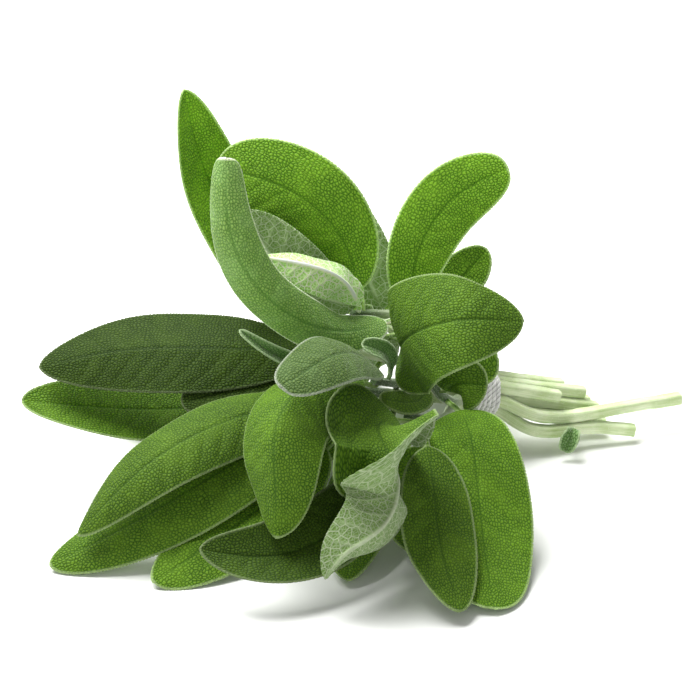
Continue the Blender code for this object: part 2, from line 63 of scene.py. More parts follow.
# The layout's sizes, the same as the part's own.
LEAF_REACH = 109.0
TAIL_REACH = 70.0
STEM_RADIUS = 2.0
SHOOT_RADIUS = 1.1
PETIOLE_THICKNESS = 1.5
PETIOLE_WIDTH = 1.8
TWINE_DIAMETER = 1.8
TWINE_TURNS = 5
TWINE_END_LENGTH = 16.0
CLEARANCE = 0.3
STALK_GAP = 1.1
SLANT = 0.1
LAID_OUT_REACH = 109.0
LAID_OUT_TAIL = 70.0
LAID_OUT_PITCH = 4.3
LAID_OUT_TIE = 5.5
SPREAD = LEAF_REACH / LAID_OUT_REACH
TRAIL = TAIL_REACH / LAID_OUT_TAIL

# Where the stems pass the tie, from the heart of the bunch, and the way they point there. They are
# straight under the twine, and a longer tie takes its extra length from the tails.
TIE_DIRECTION = np.array([0.967, -0.039, -0.273])
TIE_HALF_LENGTH = TWINE_TURNS * TWINE_DIAMETER / 2 + 1.0
LONGER_TIE = (TIE_HALF_LENGTH - LAID_OUT_TIE) * TIE_DIRECTION
TIE = np.array([43.9, 12.5, -23.0]) * SPREAD + LONGER_TIE
STEM_PITCH = 2 * STEM_RADIUS + CLEARANCE

# Each stem: its place in the bundle (across, up) in pitches, its head's points from the heart,
# and either the length of a straight tail or the tail's points from the tie, cut end first.
STEMS = {
    "A": dict(place=(0.5, 0.87), tail=38, head=[(23, 15, 3), (0, 13, 12)]),
    "B": dict(place=(-0.5, 0.87), tail=[(26, -4.5, -3.6)], head=[(24, 14, -11), (-5, 6, 3)]),
    "C": dict(place=(0.56, -0.87), tail=[(43, -4.5, -16.5)], head=[(21, 7, -17), (-12, -4, -4)]),
    "D": dict(place=(0, 0), tail=43, head=[(25, 7, -15), (-3, -12, 1)]),
    "E": dict(
        place=(-0.5, -0.87),
        tail=[(50, -12, -17), (32, -9, -14), (13, -7, -11)],
        head=[(25, -4, -20), (4, -21, -8)],
    ),
    "F": dict(
        place=(-1, 0), tail=[(68, -9, -10), (40, -8, -10), (13, -6, -6)], head=[(31, 3, -19), (16, -8, -3)]
    ),
    "G": dict(place=(1.05, 0), tail=42, head=[(30, 19, -12), (15, 4, 5)]),
    "H": dict(place=(1.6, 0.87), tail=32, head=[(33, 29, -14), (18, 29, -2)]),
}

# Each leaf: the sprig it grows on, how far down from that sprig's tip, the points its midrib passes
# from the heart, and where its upper face looks (heading, height and, where given, the share of the
# way to the tip). A leaf on a tail has "up", its distance from the cut end, and its points are from
# the tie. Fold lifts the two halves (left, right seen from above) about the midrib, curl
# rolls them on toward the margins, and outline is how full the blade is toward base and tip.
LEAF_COLUMNS = (
    "name", "sprig", "down", "width", "petiole", "outline", "fold", "curl", "route", "face", "up",
)
LEAF_ROWS = (
    ("leaf_tall_back", "A", 10, 25, 0.1, (0.6, 0.6), (18, 18), (5, 5),
     [(-10, 30, 6), (-27, 41, 31), (-35, 49, 54), (-40, 49, 78)], [(-87, 30), (-79, 20)]),
    ("leaf_top_broad", "A", 4, 28, 0.08, (0.55, 0.42), (4, 4), (-15, -15),
     [(1, 21, 32), (-11, 28, 47), (-33, 41, 55)], [(-142, 30), (-120, 22), (-114, 30)]),
    ("leaf_rolled_upright", "A", 14, 18, 0.05, (0.35, 0.22), ((-5, -10), (-5, -10)), ((-25, -75), (-25, -75)),
     [(-15, -2, 16), (-35, -2, 32), (-43, 2, 53), (-41, 8, 70)],
     [(-120, 45), (-120, 20), (-120, 15)]),
    ("leaf_pale_underside", "A", 2, 16, 0.06, (0.6, 0.6), (50, 10), (5, 5),
     [(-7, 6, 28), (-31, 10, 37)], [(58, -40), (58, -40)]),
    ("leaf_behind_pale", "A", 8, 24, 0.1, (0.6, 0.6), (5, 5), (10, 10),
     [(-11, 19, 19), (-30, 27, 45)], [(68, 0), (68, 0)]),
    ("leaf_upper_right", "G", 3, 21, 0.06, (0.65, 0.42), (5, 5), (-15, -15),
     [(19, 5, 34), (29, 5, 48), (44, -3, 59)], [(-117, 20), (-102, 25)]),
    ("leaf_right_hood", "G", 6, 35, 0.19, (0.3, 0.55), (5, 5), (-30, -25),
     [(5, -14, 12), (4, -30, 24), (12, -42, 31), (30, -44, 28)],
     [(-132, 20), (-120, 30), (-107, 40), (-107, 40)]),
    ("leaf_right_small", "G", 9, 15, 0.1, (0.6, 0.5), (10, 10), (0, 0),
     [(33, 13, 14), (44, 10, 28)], [(-112, 30), (-112, 30)]),
    ("leaf_right_tucked", "F", 9, 17, 0.1, (0.6, 0.5), (5, 5), (0, 0),
     [(24, -14, -4), (31, -20, -3)], [(-102, 20), (-92, 10)]),
    ("leaf_right_tucked_rear", "F", 12, 14, 0.1, (0.6, 0.5), (5, 5), (0, 0),
     [(30, -1, -4.5), (35.5, 0, -4), (36.5, -3, -12)], [(-112, 30), (-112, 30)]),
    ("leaf_left_long", "B", 4, 29, 0.1, (0.6, 0.6), (-8, -8), (-10, -10),
     [(-43, 20, 5), (-70, 35, 2), (-91, 43, -3)], [(-112, 55), (-112, 55)]),
    ("leaf_left_lower", "B", 12, 27, 0.12, (0.6, 0.55), (5, 5), (0, 0),
     [(-44, 29, -19), (-77, 36, -16), (-98, 40, -12)], [(-112, 65), (-112, 65)]),
    ("leaf_left_inner", "B", 8, 18, 0.1, (0.6, 0.5), (5, 5), (0, 0),
     [(-34, 10, -4), (-55, 14, -9)], [(-112, 45), (-112, 45)]),
    ("leaf_front_left_upper", "C", 4, 25, 0.08, (0.45, 0.65), (0, 0), (-40, -40),
     [(-49, -8, -6), (-75, -13, -13), (-96, -12, -32)], [(-127, 60), (-132, 60)]),
    ("leaf_front_left_middle", "C", 8, 27, 0.1, (0.5, 0.55), (0, 0), (-35, -35),
     [(-47, -13, -17), (-74, -14, -28), (-104, -9, -42)], [(-120, 55), (-120, 60)]),
    ("leaf_front_left_lower", "C", 15, 25, 0.25, (0.55, 0.55), (0, 0), (-25, -25),
     [(-41, -20, -29), (-60, -26, -35), (-79, -30, -42)], [(-127, 50), (-132, 45)]),
    ("leaf_front_floor", "D", 14, 24, 0.3, (0.5, 0.6), (10, 10), (15, 15),
     [(-24, -42, -27), (-48, -48, -30), (-69, -43, -26)], [(-112, 50), (-112, 50)]),
    ("leaf_front_hanging", "D", 4, 31, 0.08, (0.5, 0.5), (0, -38), (-20, -30),
     [(-32, -28, 11), (-44, -39, 6), (-47, -46, -9), (-48, -48, -24)],
     [(-112, 60), (-112, 40), (-112, 30)]),
    ("leaf_front_crown", "D", 2, 19, 0.12, (0.45, 0.4), (0, 0), (-25, -25),
     [(-25, -33, 22), (-43, -41, 19)], [(-120, 55), (-120, 45)]),
    ("leaf_front_twisted", "E", 1, 36, 0.12, (0.45, 0.75), (5, (5, 55)), (10, (10, 60)),
     [(-13.5, -41.5, -1), (-14, -56, -8), (-22, -64, -18), (-34, -65, -24), (-39, -64, -31)],
     [(-107, 50, 0), (-117, 45, 0.42), (168, 10, 0.52), (88, -25, 0.62), (68, -35, 1)]),
    ("leaf_front_right_inner", "E", 7, 23, 0.25, (0.55, 0.6), (-18, 5), (15, 15),
     [(7, -27, -9), (2.5, -43, -15), (-3.5, -64, -29), (-5, -81.5, -39.5)], [(-107, 45), (-97, 40)]),
    ("leaf_front_right_outer", "F", 15, 33, 0.15, (0.42, 0.45), (-10, 5), (-5, -5),
     [(21, -28, -12), (13.5, -55, -31), (6, -80, -42)], [(-107, 45), (-102, 40)]),
    ("leaf_centre_dark", "F", 2, 9, 0.1, (0.5, 0.5), (0, 0), (0, -20),
     [(9, -17, -5.6), (-4, -19, -1.4)], [(-112, 60), (-112, 50)]),
    ("young_leaf_left", "B", 1, 7, 0.1, (0.5, 0.5), (40, 40), (10, 10),
     [(-24, -6, 7), (-34, -8, 14), (-43, -6, 22)], [(-122, 50), (-122, 40)]),
    ("young_leaf_centre", "D", 8, 7, 0.1, (0.5, 0.4), (20, 20), (10, 10),
     [(-1, -14, 11), (-8, -14.5, 15)], [(-92, 50), (-112, 40)]),
    ("young_leaf_on_stem", "E", 0, 7, 0.2, (0.5, 0.5), (30, 30), (10, 10),
     [(26.6, -14.1, -11.6), (23.1, -15.1, -18)], [(-112, 30), (-112, 30)], 23),
    ("leaf_inner_front", "E", 20, 22, 0.15, (0.5, 0.6), (5, 5), (0, 0),
     [(-6, -18, -29), (-17, -31, -36), (-27, -50, -42)], [(-112, 30), (-112, 30)]),
    ("leaf_inner_left", "C", 21, 25, 0.15, (0.5, 0.6), (0, 0), (-10, -10),
     [(-27, 1, -24), (-43, -6, -29), (-59, -13, -35)], [(-112, 50), (-112, 50)]),
    ("leaf_inner_lower_left", "B", 18, 18, 0.15, (0.5, 0.6), (0, 0), (0, 0),
     [(-17, 8, -24), (-38, 12, -33), (-58, 16, -38)], [(-112, 60), (-112, 60)]),
    ("leaf_inner_right", "E", 18, 24, 0.15, (0.5, 0.6), (0, 0), (0, 0),
     [(8, -22, -27), (2, -36, -35), (-3, -49, -40)], [(-107, 40), (-107, 40)]),
    ("leaf_rear_top", "H", 4, 26, 0.08, (0.55, 0.5), (5, 5), (-15, -15),
     [(18, 50, 5), (16, 68, 4), (14, 82, -12)], [(78, 70), (78, 50), (78, 30)]),
    ("leaf_rear_right", "H", 17, 24, 0.1, (0.55, 0.5), (0, 0), (-15, -15),
     [(33, 40, -8), (43, 51, -20), (52, 61, -37)], [(58, 60), (48, 40)]),
    ("leaf_rear_middle", "H", 14, 26, 0.12, (0.55, 0.5), (5, 5), (-10, -10),
     [(21, 50, -15), (23, 64, -29), (24, 79, -40)], [(68, 60), (68, 50)]),
    ("leaf_rear_left_arching", "A", 21, 26, 0.1, (0.5, 0.55), (5, 5), (-15, -15),
     [(-2, 38, 0), (-14, 58, -10), (-22, 75, -32)], [(108, 60), (108, 40)]),
    ("leaf_rear_left_low", "B", 16, 26, 0.12, (0.5, 0.55), (5, 5), (-10, -10),
     [(-23, 37, -5), (-42, 56, -20), (-62, 73, -33)], [(88, 70), (98, 60)]),
    ("leaf_rear_upright", "H", 1, 24, 0.08, (0.55, 0.45), (8, 8), (10, 10),
     [(12, 38, 19), (6, 50, 32), (0, 54, 44)], [(68, 10), (68, 20)]),
    ("leaf_under_stems", "E", 24, 20, 0.12, (0.5, 0.5), (0, 0), (0, 0),
     [(19, -10, -25), (28, 0, -37), (36, 11, -42)], [(-82, 60), (58, 80)]),
    ("leaf_rear_left_upper", "A", 16, 18, 0.1, (0.55, 0.5), (8, 8), (-10, -10),
     [(3, 35, 6), (-6, 51, 11), (-16, 61, 3)], [(108, 50), (98, 40)]),
    ("leaf_rear_right_upper", "H", 14, 24, 0.1, (0.55, 0.5), (5, 5), (-10, -10),
     [(34, 26, 6), (47, 33, 5), (57, 39, -5)], [(38, 60), (28, 40)]),
    ("leaf_under_left", "C", 26, 24, 0.25, (0.5, 0.55), (0, 0), (-5, -5),
     [(-12, 26, -22), (-27, 42, -33), (-42, 55, -39)], [(68, 75), (68, 75)]),
    ("leaf_rear_left_floor", "A", 27, 24, 0.12, (0.5, 0.55), (5, 5), (-10, -10),
     [(0, 43, -12), (-6, 63, -23), (-13, 78, -39)], [(98, 60), (98, 45)]),
    ("leaf_rear_high", "H", 9, 24, 0.15, (0.5, 0.5), (5, 5), (-15, -15),
     [(34, 43, -2), (43, 57, -6), (50, 71, -21)], [(58, 70), (58, 40)]),
)
LEAVES = [dict(zip(LEAF_COLUMNS, row)) for row in LEAF_ROWS]

# How bright each leaf's green is painted beside the others: painted light and shade, lighter for the leaves
# that the light reaches or shines through and darker for those in the shade inside the bunch.
PAINTED_LIGHT_LEVELS = {
    "leaf_tall_back": 1.5,
    "leaf_top_broad": 1.35,
    "leaf_rolled_upright": 1.5,
    "leaf_upper_right": 1.45,
    "leaf_right_hood": 0.75,
    "leaf_left_long": 0.3,
    "leaf_left_inner": 0.3,
    "leaf_left_lower": 0.85,
    "leaf_front_left_upper": 0.65,
    "leaf_front_left_middle": 0.8,
    "leaf_front_hanging": 0.85,
    "leaf_front_crown": 0.65,
    "leaf_front_twisted": 0.75,
    "leaf_front_right_inner": 0.7,
    "leaf_front_right_outer": 1.15,
    "leaf_centre_dark": 0.5,
    "leaf_pale_underside": 1.9,
    "leaf_front_floor": 0.4,
    "leaf_right_tucked": 0.7,
}
# Young or curled leaves whose upper face is greyer under a thicker felt.
FELTED = ("leaf_rolled_upright", "leaf_front_crown")
# Leaves that only the back and the underside show.
REAR_LEAVES = tuple(
    leaf["name"] for leaf in LEAVES if leaf["name"].startswith(("leaf_rear", "leaf_under", "leaf_inner"))
)


# ---------------------------------------------------------------- the layout, worked out as the part does


def unit(vector):
    return np.asarray(vector, float) / np.linalg.norm(vector)


def heading(azimuth, height):
    """The direction that looks along an azimuth from +X toward +Y, raised by a height."""
    flat = cos(radians(height))
    return np.array([flat * cos(radians(azimuth)), flat * sin(radians(azimuth)), sin(radians(height))])


def smooth_curve(points, count):
    """A natural cubic spline through the points, as count points at even distances."""
    points = np.asarray(points, float)
    last = len(points) - 1
    knots = np.concatenate([[0], np.cumsum(np.linalg.norm(np.diff(points, axis=0), axis=1))])
    step = np.diff(knots)
    system = np.eye(last + 1)
    bend = np.zeros((last + 1, 3))
    for i in range(1, last):
        system[i, i - 1 : i + 2] = step[i - 1], 2 * (step[i - 1] + step[i]), step[i]
        bend[i] = 6 * ((points[i + 1] - points[i]) / step[i] - (points[i] - points[i - 1]) / step[i - 1])
    second = np.linalg.solve(system, bend)
    at = np.linspace(0, knots[-1], 4 * count)
    span = np.clip(np.searchsorted(knots, at, side="right") - 1, 0, last - 1)
    before = (at - knots[span])[:, None]
    after = (knots[span + 1] - at)[:, None]
    width = step[span][:, None]
    fine = (second[span] * after**3 + second[span + 1] * before**3) / (6 * width)
    fine += (points[span] / width - second[span] * width / 6) * after
    fine += (points[span + 1] / width - second[span + 1] * width / 6) * before
    return sample(fine, np.linspace(0, 1, count))


def sample(curve, shares):
    """Points of a polyline at shares of its length."""
    length = np.concatenate([[0], np.cumsum(np.linalg.norm(np.diff(curve, axis=0), axis=1))])
    return np.stack([np.interp(np.asarray(shares) * length[-1], length, curve[:, k]) for k in range(3)], 1)


def curve_length(curve):
    return np.linalg.norm(np.diff(curve, axis=0), axis=1).sum()


def bundle_axes():
    """The stems' direction at the tie, and the two directions across the bundle."""
    along = unit(TIE_DIRECTION)
    across = unit(np.cross((0, 0, 1), along))
    return along, across, np.cross(along, across)


def place_in_bundle(place):
    return TIE + beside(place) * STEM_PITCH


def beside(place):
    """A stem's place in the bundle, in pitches from the middle."""
    across, up = bundle_axes()[1:]
    return across * place[0] + up * place[1]


def stem_curve(stem):
    """A stem's middle line from its cut end, straight through the tie, to its growing tip."""
    along = bundle_axes()[0]
    middle = place_in_bundle(stem["place"])
    wider = beside(stem["place"]) * (STEM_PITCH - LAID_OUT_PITCH)
    tail = stem["tail"]
    if isinstance(tail, list):
        points = [tail_place(point) + wider for point in tail]
    else:
        points = [middle + along * tail * TRAIL]
    points += [middle + along * TIE_HALF_LENGTH, middle, middle - along * TIE_HALF_LENGTH]
    points += [np.multiply(point, SPREAD) + wider for point in stem["head"]]
    return smooth_curve(points, 120)


def tail_place(point):
    """A point given from the tie: its distance along the tails grows with them."""
    return TIE + LONGER_TIE + np.multiply(point, (TRAIL, 1, TRAIL))


def stem_radius(stem, curve, share):
    """The radius at a share of the length: even along the tail, then thinner toward the tip."""
    to_middle = np.linalg.norm(curve - place_in_bundle(stem["place"]), axis=1)
    tie_share = to_middle.argmin() / (len(curve) - 1)
    past_tie = np.clip((np.asarray(share) - tie_share) / (1 - tie_share), 0, 1)
    return STEM_RADIUS + (SHOOT_RADIUS - STEM_RADIUS) * past_tie


def leaf_route(leaf):
    """The points that a leaf's midrib passes. A leaf on a tail has "up", its distance from the cut end."""
    if "up" in leaf:
        return [tail_place(point) for point in leaf["route"]]
    return [np.multiply(point, SPREAD) for point in leaf["route"]]


def ramp(value, share):
    """A number, or a pair that runs from base to tip."""
    ends = value if isinstance(value, tuple) else (value, value)
    return ends[0] + (ends[1] - ends[0]) * share


def sample_directions(directions, share):
    at = np.linspace(0, 1, len(directions))
    found = np.stack([np.interp(share, at, directions[:, k]) for k in range(3)], 1)
    return found / np.linalg.norm(found, axis=1)[:, None]


def bundle_outline(reach, count):
    """Points around the bundle at a distance from the stems' middles, with the way each looks out."""
    along, across, up = bundle_axes()
    middles = np.array([place_in_bundle(stem["place"]) for stem in STEMS.values()])
    outline = []
    for turn in np.linspace(0, 2 * pi, 720, endpoint=False):
        out = cos(turn) * across + sin(turn) * up
        outline.append(middles[(middles @ out).argmax()] + out * reach)
    closed = np.array(outline + outline[:1])
    points = sample(closed, np.linspace(0, 1, count, endpoint=False))
    tangent = np.roll(points, -1, axis=0) - np.roll(points, 1, axis=0)
    outward = np.cross(tangent, along)
    return points, outward / np.linalg.norm(outward, axis=1)[:, None]


def knot_place():
    """The middle of the knot, outside the band on the side away from the leaves' open front."""
    across, up = bundle_axes()[1:]
    out = unit(across + 0.4 * up)
    middles = [place_in_bundle(stem["place"]) for stem in STEMS.values()]
    reach = max((middle - TIE) @ out for middle in middles) + STEM_RADIUS
    return TIE + out * (reach + TWINE_DIAMETER + 2 * CLEARANCE + 1.3 * TWINE_DIAMETER), out


def leaf_root(leaf, toward):
    """Where a leaf's stalk starts, beside its stem on the side it goes to, and the stem's middle there."""
    stem = STEMS[leaf["sprig"]]
    curve = stem_curve(stem)
    if "up" in leaf:
        share = leaf["up"] * TRAIL / curve_length(curve)
    else:
        share = 1 - leaf["down"] * SPREAD / curve_length(curve)
    here, ahead = sample(curve, [share, share + 0.005])
    along = unit(ahead - here)
    side = toward - here
    side = unit(side - side @ along * along)
    return here + side * (stem_radius(stem, curve, share) + STALK_GAP), here


def leaf_curve(leaf):
    """A leaf's midrib from root to tip, and the middle of its stem at the root."""
    route = leaf_route(leaf)
    root, stem_middle = leaf_root(leaf, route[0])
    return smooth_curve([root] + route, 120), stem_middle


def blade_share(leaf, share):
    """0 along the stalk, then up to 1 at the tip."""
    return np.clip((share - leaf["petiole"]) / (1 - leaf["petiole"]), 0, 1)


def half_width(leaf, share):
    """Half the width in millimetres, which narrows to a point at the very tip."""
    blade = blade_share(leaf, share)
    base, tip = leaf["outline"]
    fullest = base / (base + tip)
    peak = fullest**base * (1 - fullest) ** tip
    half = leaf["width"] / 2 * SPREAD * blade**base * (1 - blade) ** tip / peak
    closing = np.clip((1 - share) / 0.03, 0.0005, 1)
    return np.hypot(half, PETIOLE_WIDTH / 2 * np.sqrt(closing * (2 - closing)))


def leaf_surface(leaf, share, across):
    """The middle of a leaf's thickness as a grid: share runs from root to tip, across from -1 to 1."""
    curve = leaf_curve(leaf)[0]
    middle = sample(curve, share)
    along = sample_directions(np.gradient(curve, axis=0), share)
    faces = leaf["face"]
    stations = [face[2] for face in faces] if len(faces[0]) > 2 else np.linspace(0, 1, len(faces))
    looks = np.array([heading(*face[:2]) for face in faces])
    up = np.stack([np.interp(share, stations, looks[:, k]) for k in range(3)], 1)
    up -= (up * along).sum(1)[:, None] * along
    up /= np.linalg.norm(up, axis=1)[:, None]
    side = np.cross(along, up)
    half = half_width(leaf, share)
    opening = np.clip(6 * blade_share(leaf, share), 0, 1)
    grid = np.zeros((len(share), len(across), 3))
    for j, position in enumerate(across):
        hand = 1 if position > 0 else 0
        fold = np.radians(ramp(leaf["fold"][hand], share)) * opening
        curl = np.radians(ramp(leaf["curl"][hand], share)) * opening
        curl = np.where(np.abs(curl) < 1e-3, 1e-3, curl)
        turned = fold + curl * abs(position)
        out = half * (np.sin(turned) - np.sin(fold)) / curl
        lift = half * (np.cos(fold) - np.cos(turned)) / curl
        grid[:, j] = middle + np.sign(position) * out[:, None] * side + lift[:, None] * up
    return grid


# ---------------------------------------------------------------- small helpers


def linear(hex_colour):
    """An sRGB hex colour as the linear RGB that Blender stores."""
    channels = [int(hex_colour[i : i + 2], 16) / 255 for i in (1, 3, 5)]
    return tuple(c / 12.92 if c <= 0.04045 else ((c + 0.055) / 1.055) ** 2.4 for c in channels)


def fill(tree, node, values):
    """Links each socket among the values to its input, and sets the other inputs to their value."""
    for key, value in values.items() if isinstance(values, dict) else enumerate(values):
        if isinstance(value, bpy.types.NodeSocket):
            tree.links.new(value, node.inputs[key])
        else:
            node.inputs[key].default_value = value


def add_node(tree, kind, values=(), **settings):
    """Adds a node with its settings, and its inputs as a dict or in order."""
    made = tree.nodes.new(kind)
    for key, value in settings.items():
        setattr(made, key, value)
    fill(tree, made, values)
    return made


def with_alpha(colour):
    return (*colour[:3], 1.0)


def new_tree(name, numbers, materials):
    """A Geometry Nodes group with a mesh in and out, lengths in metres, and material inputs."""
    tree = bpy.data.node_groups.new(name, "GeometryNodeTree")
    tree.interface.new_socket("Geometry", in_out="INPUT", socket_type="NodeSocketGeometry")
    for socket_name in numbers:
        tree.interface.new_socket(socket_name, in_out="INPUT", socket_type="NodeSocketFloat")
    for socket_name in materials:
        tree.interface.new_socket(socket_name, in_out="INPUT", socket_type="NodeSocketMaterial")
    tree.interface.new_socket("Geometry", in_out="OUTPUT", socket_type="NodeSocketGeometry")
    given = tree.nodes.new("NodeGroupInput").outputs
    result = tree.nodes.new("NodeGroupOutput").inputs[0]
    return tree, given, result


def grown(source, tree, values):
    """Runs a tree on an object and leaves the result as that object's plain mesh."""
    modifier = source.modifiers.new(tree.name, "NODES")
    modifier.node_group = tree
    for item in tree.interface.items_tree:
        if item.in_out == "INPUT" and item.name in values:
            modifier[item.identifier] = values[item.name]
    bpy.context.view_layer.update()
    graph = bpy.context.evaluated_depsgraph_get()
    mesh = bpy.data.meshes.new_from_object(source.evaluated_get(graph))
    name = source.name
    source.name = name + "_guide"
    made = bpy.data.objects.new(name, mesh)
    mesh.name = name
    bpy.context.scene.collection.objects.link(made)
    bpy.data.objects.remove(source)
    return made


def add_mesh(name, points, quads, triangles, vectors, numbers):
    """A mesh from arrays in metres, with named vectors and numbers on its points."""
    mesh = bpy.data.meshes.new(name)
    mesh.vertices.add(len(points))
    mesh.vertices.foreach_set("co", np.asarray(points, np.float32).ravel())
    corners = np.concatenate([np.ravel(quads), np.ravel(triangles)])
    starts = np.concatenate([np.arange(len(quads)) * 4, len(quads) * 4 + np.arange(len(triangles)) * 3])
    mesh.loops.add(len(corners))
    mesh.loops.foreach_set("vertex_index", corners.astype(np.int32))
    mesh.polygons.add(len(starts))
    mesh.polygons.foreach_set("loop_start", starts.astype(np.int32))
    mesh.update(calc_edges=True)
    for key, values in vectors.items():
        made = mesh.attributes.new(key, "FLOAT_VECTOR", "POINT")
        made.data.foreach_set("vector", np.asarray(values, np.float32).ravel())
    for key, values in numbers.items():
        made = mesh.attributes.new(key, "FLOAT", "POINT")
        made.data.foreach_set("value", np.asarray(values, np.float32).ravel())
    made = bpy.data.objects.new(name, mesh)
    bpy.context.scene.collection.objects.link(made)
    return made


def finish_piece(piece, node_name):
    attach(piece, "root")
    if node_name:
        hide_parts(node_name)


def place_of_bunch():
    """The shift in millimetres from the heart of the bunch to the frame, from where the CAD leaves are."""
    shifts = []
    for leaf in LEAVES:
        low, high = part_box(leaf["name"])
        grid = leaf_surface(leaf, np.linspace(0, 1, 60), np.linspace(-1, 1, 13)).reshape(-1, 3)
        middle = (grid.min(0) + grid.max(0)) / 2
        shifts.append(np.array(low + high) / 2 / MM - middle)
    return np.median(shifts, axis=0)


# ---------------------------------------------------------------- leaf blades


def leaf_rows(leaf, spacing):
    """Shares of the length for a blade's rows, closer where the margin turns in toward the tip."""
    even = np.linspace(0, 1, 1500)
    length = curve_length(leaf_curve(leaf)[0])
    half = half_width(leaf, even)
    run = np.concatenate([[0], np.cumsum(np.hypot(np.diff(even) * length, 0.7 * np.diff(half)))])
    return np.interp(np.linspace(0, run[-1], round(run[-1] / spacing) + 1), run, even)


def blade_mesh(leaf, shift, sizes, spacing, seed):
    """One leaf as a closed blade: an upper and a lower skin that meet along the margin."""
    share = leaf_rows(leaf, spacing)
    columns = max(9, round(leaf["width"] * SPREAD / spacing) | 1)
    even = np.linspace(-1, 1, columns)
    across = 0.8 * even + 0.2 * np.sin(even * pi / 2)
    curve, stem_middle = leaf_curve(leaf)
    middle = leaf_surface(leaf, share, across) + shift
    d_along = np.gradient(middle, axis=0)
    d_across = np.gradient(middle, axis=1)
    normal = np.cross(d_across, d_along)
    normal /= np.linalg.norm(normal, axis=2)[..., None]
    along_unit = d_along / np.linalg.norm(d_along, axis=2)[..., None]
    across_unit = np.cross(along_unit, normal)

    length = curve_length(curve)
    half = half_width(leaf, share)
    slope = np.gradient(half, share * length)
    blade = blade_share(leaf, share)[:, None] + 0 * across[None]
    x = half[:, None] * across[None]
    y = (share * length)[:, None] + 0 * x
    side_gap = (1 - np.abs(across))[None] * half[:, None] / np.hypot(1, slope)[:, None]
    margin = np.minimum(side_gap, ((1 - share) * length)[:, None] + 0 * x)
    rim_run = np.concatenate([[0], np.cumsum(np.hypot(np.diff(share) * length, np.diff(half)))])
    rim_run = rim_run[:, None] + np.where(x < 0, 0.4 * sizes.tooth_pitch / MM, 0)

    # How far the two skins stand from the middle: a half-round stalk that widens into a thin blade.
    opened = np.clip(7 * blade, 0, 1)
    opened = opened * opened * (3 - 2 * opened)
    stalk_half = PETIOLE_THICKNESS / 2 * np.sqrt(1 - across[None] ** 2)
    rounded = np.sqrt(1 - (1 - np.clip(margin / 0.35, 0, 1)) ** 2)
    blade_half = sizes.blade_thickness / MM / 2 * rounded
    thick = (1 - opened) * stalk_half + opened * blade_half
    midrib = np.exp(-((x / 0.75) ** 2)) * (1 - blade) ** 0.8 * opened

    # Side veins leave the midrib at a steep angle and bend toward the tip.
    spacing_veins = sizes.vein_spacing / MM * (0.55 + 0.45 * min(1, leaf["width"] / 26))
    hand = np.where(x < 0, 0.45, 0.0)
    phase = (y - 0.62 * np.abs(x) - 0.022 * x * x) / spacing_veins + hand + 0.13 * seed
    off_vein = np.abs(phase - np.round(phase)) * spacing_veins * 0.8
    fade = np.clip(margin / 3.5, 0, 1) * np.clip(8 * blade, 0, 1) * np.clip(6 * (1 - blade), 0, 1)
    side_vein = np.exp(-((off_vein / 0.4) ** 2)) * fade
    main_vein = np.exp(-((x / 0.55) ** 2)) * opened * np.clip(5 * (1 - blade), 0, 1) ** 0.5
    vein = np.maximum(0.42 * side_vein, main_vein)
    quilt = 0.07 * np.cos(2 * pi * phase + pi) * fade * np.clip(np.abs(x) / 2.5, 0, 1)
    wave = 0.35 * np.abs(across[None]) ** 2 * np.sin(2 * pi * 2.3 * blade + 1.7 * seed + hand * 4) * opened
    middle = middle + normal * (quilt + wave * min(1, leaf["width"] / 20))[..., None]

    upper = middle + normal * thick[..., None]
    lower = middle - normal * (thick + 0.45 * midrib)[..., None]
    edge_way = across_unit * np.sign(across)[None, :, None] - along_unit * slope[:, None, None]
    edge_way /= np.linalg.norm(edge_way, axis=2)[..., None]
    flat = np.stack([x + 41.0 * seed, y + 17.0 * seed, 0 * x], -1) * MM

    def ring(over, under):
        return np.concatenate([over, under[:, -2:0:-1]], axis=1)

    points = ring(upper, lower)
    rows, around = points.shape[:2]
    skin = np.ones_like(x)
    skin[:, [0, -1]] = 0
    index = np.arange(rows * around).reshape(rows, around)
    after = np.roll(index, -1, axis=1)
    sides = np.stack([index[:-1], after[:-1], after[1:], index[1:]], -1).reshape(-1, 4)
    root, tip, last = index[0], index[-1], columns - 1
    inner = range(1, columns - 2)
    ends = [(root[-j], root[-j - 1], root[j + 1], root[j]) for j in inner]
    ends += [(tip[j], tip[j + 1], tip[-j - 1], tip[-j]) for j in inner]
    corners = [(root[0], root[-1], root[1]), (root[1 - last], root[last], root[last - 1])]
    corners += [(tip[0], tip[1], tip[-1]), (tip[last - 1], tip[last], tip[1 - last])]
    # The stalk starts inside the stem's bark.
    points[0] += 0.7 * (stem_middle + shift - points[0].mean(0))
    piece = add_mesh(
        "sage_" + leaf["name"], points.reshape(-1, 3) * MM, np.concatenate([sides, ends]), corners,
        {
            "flat": ring(flat, flat),
            "lift_way": ring(normal, normal),
            "edge_way": ring(edge_way, edge_way),
        },
        {
            "vein": ring(vein, vein),
            "margin": ring(margin, margin) * MM,
            "rim_run": ring(rim_run, rim_run) * MM,
            "skin": ring(skin, -skin),
            "opened": ring(opened, opened),
            # The leaf's painted light and shade level, which its material multiplies into its green.
            "painted_light_level": np.full(points.shape[:2], PAINTED_LIGHT_LEVELS.get(leaf["name"], 1.0)),
        },
    )
    return piece


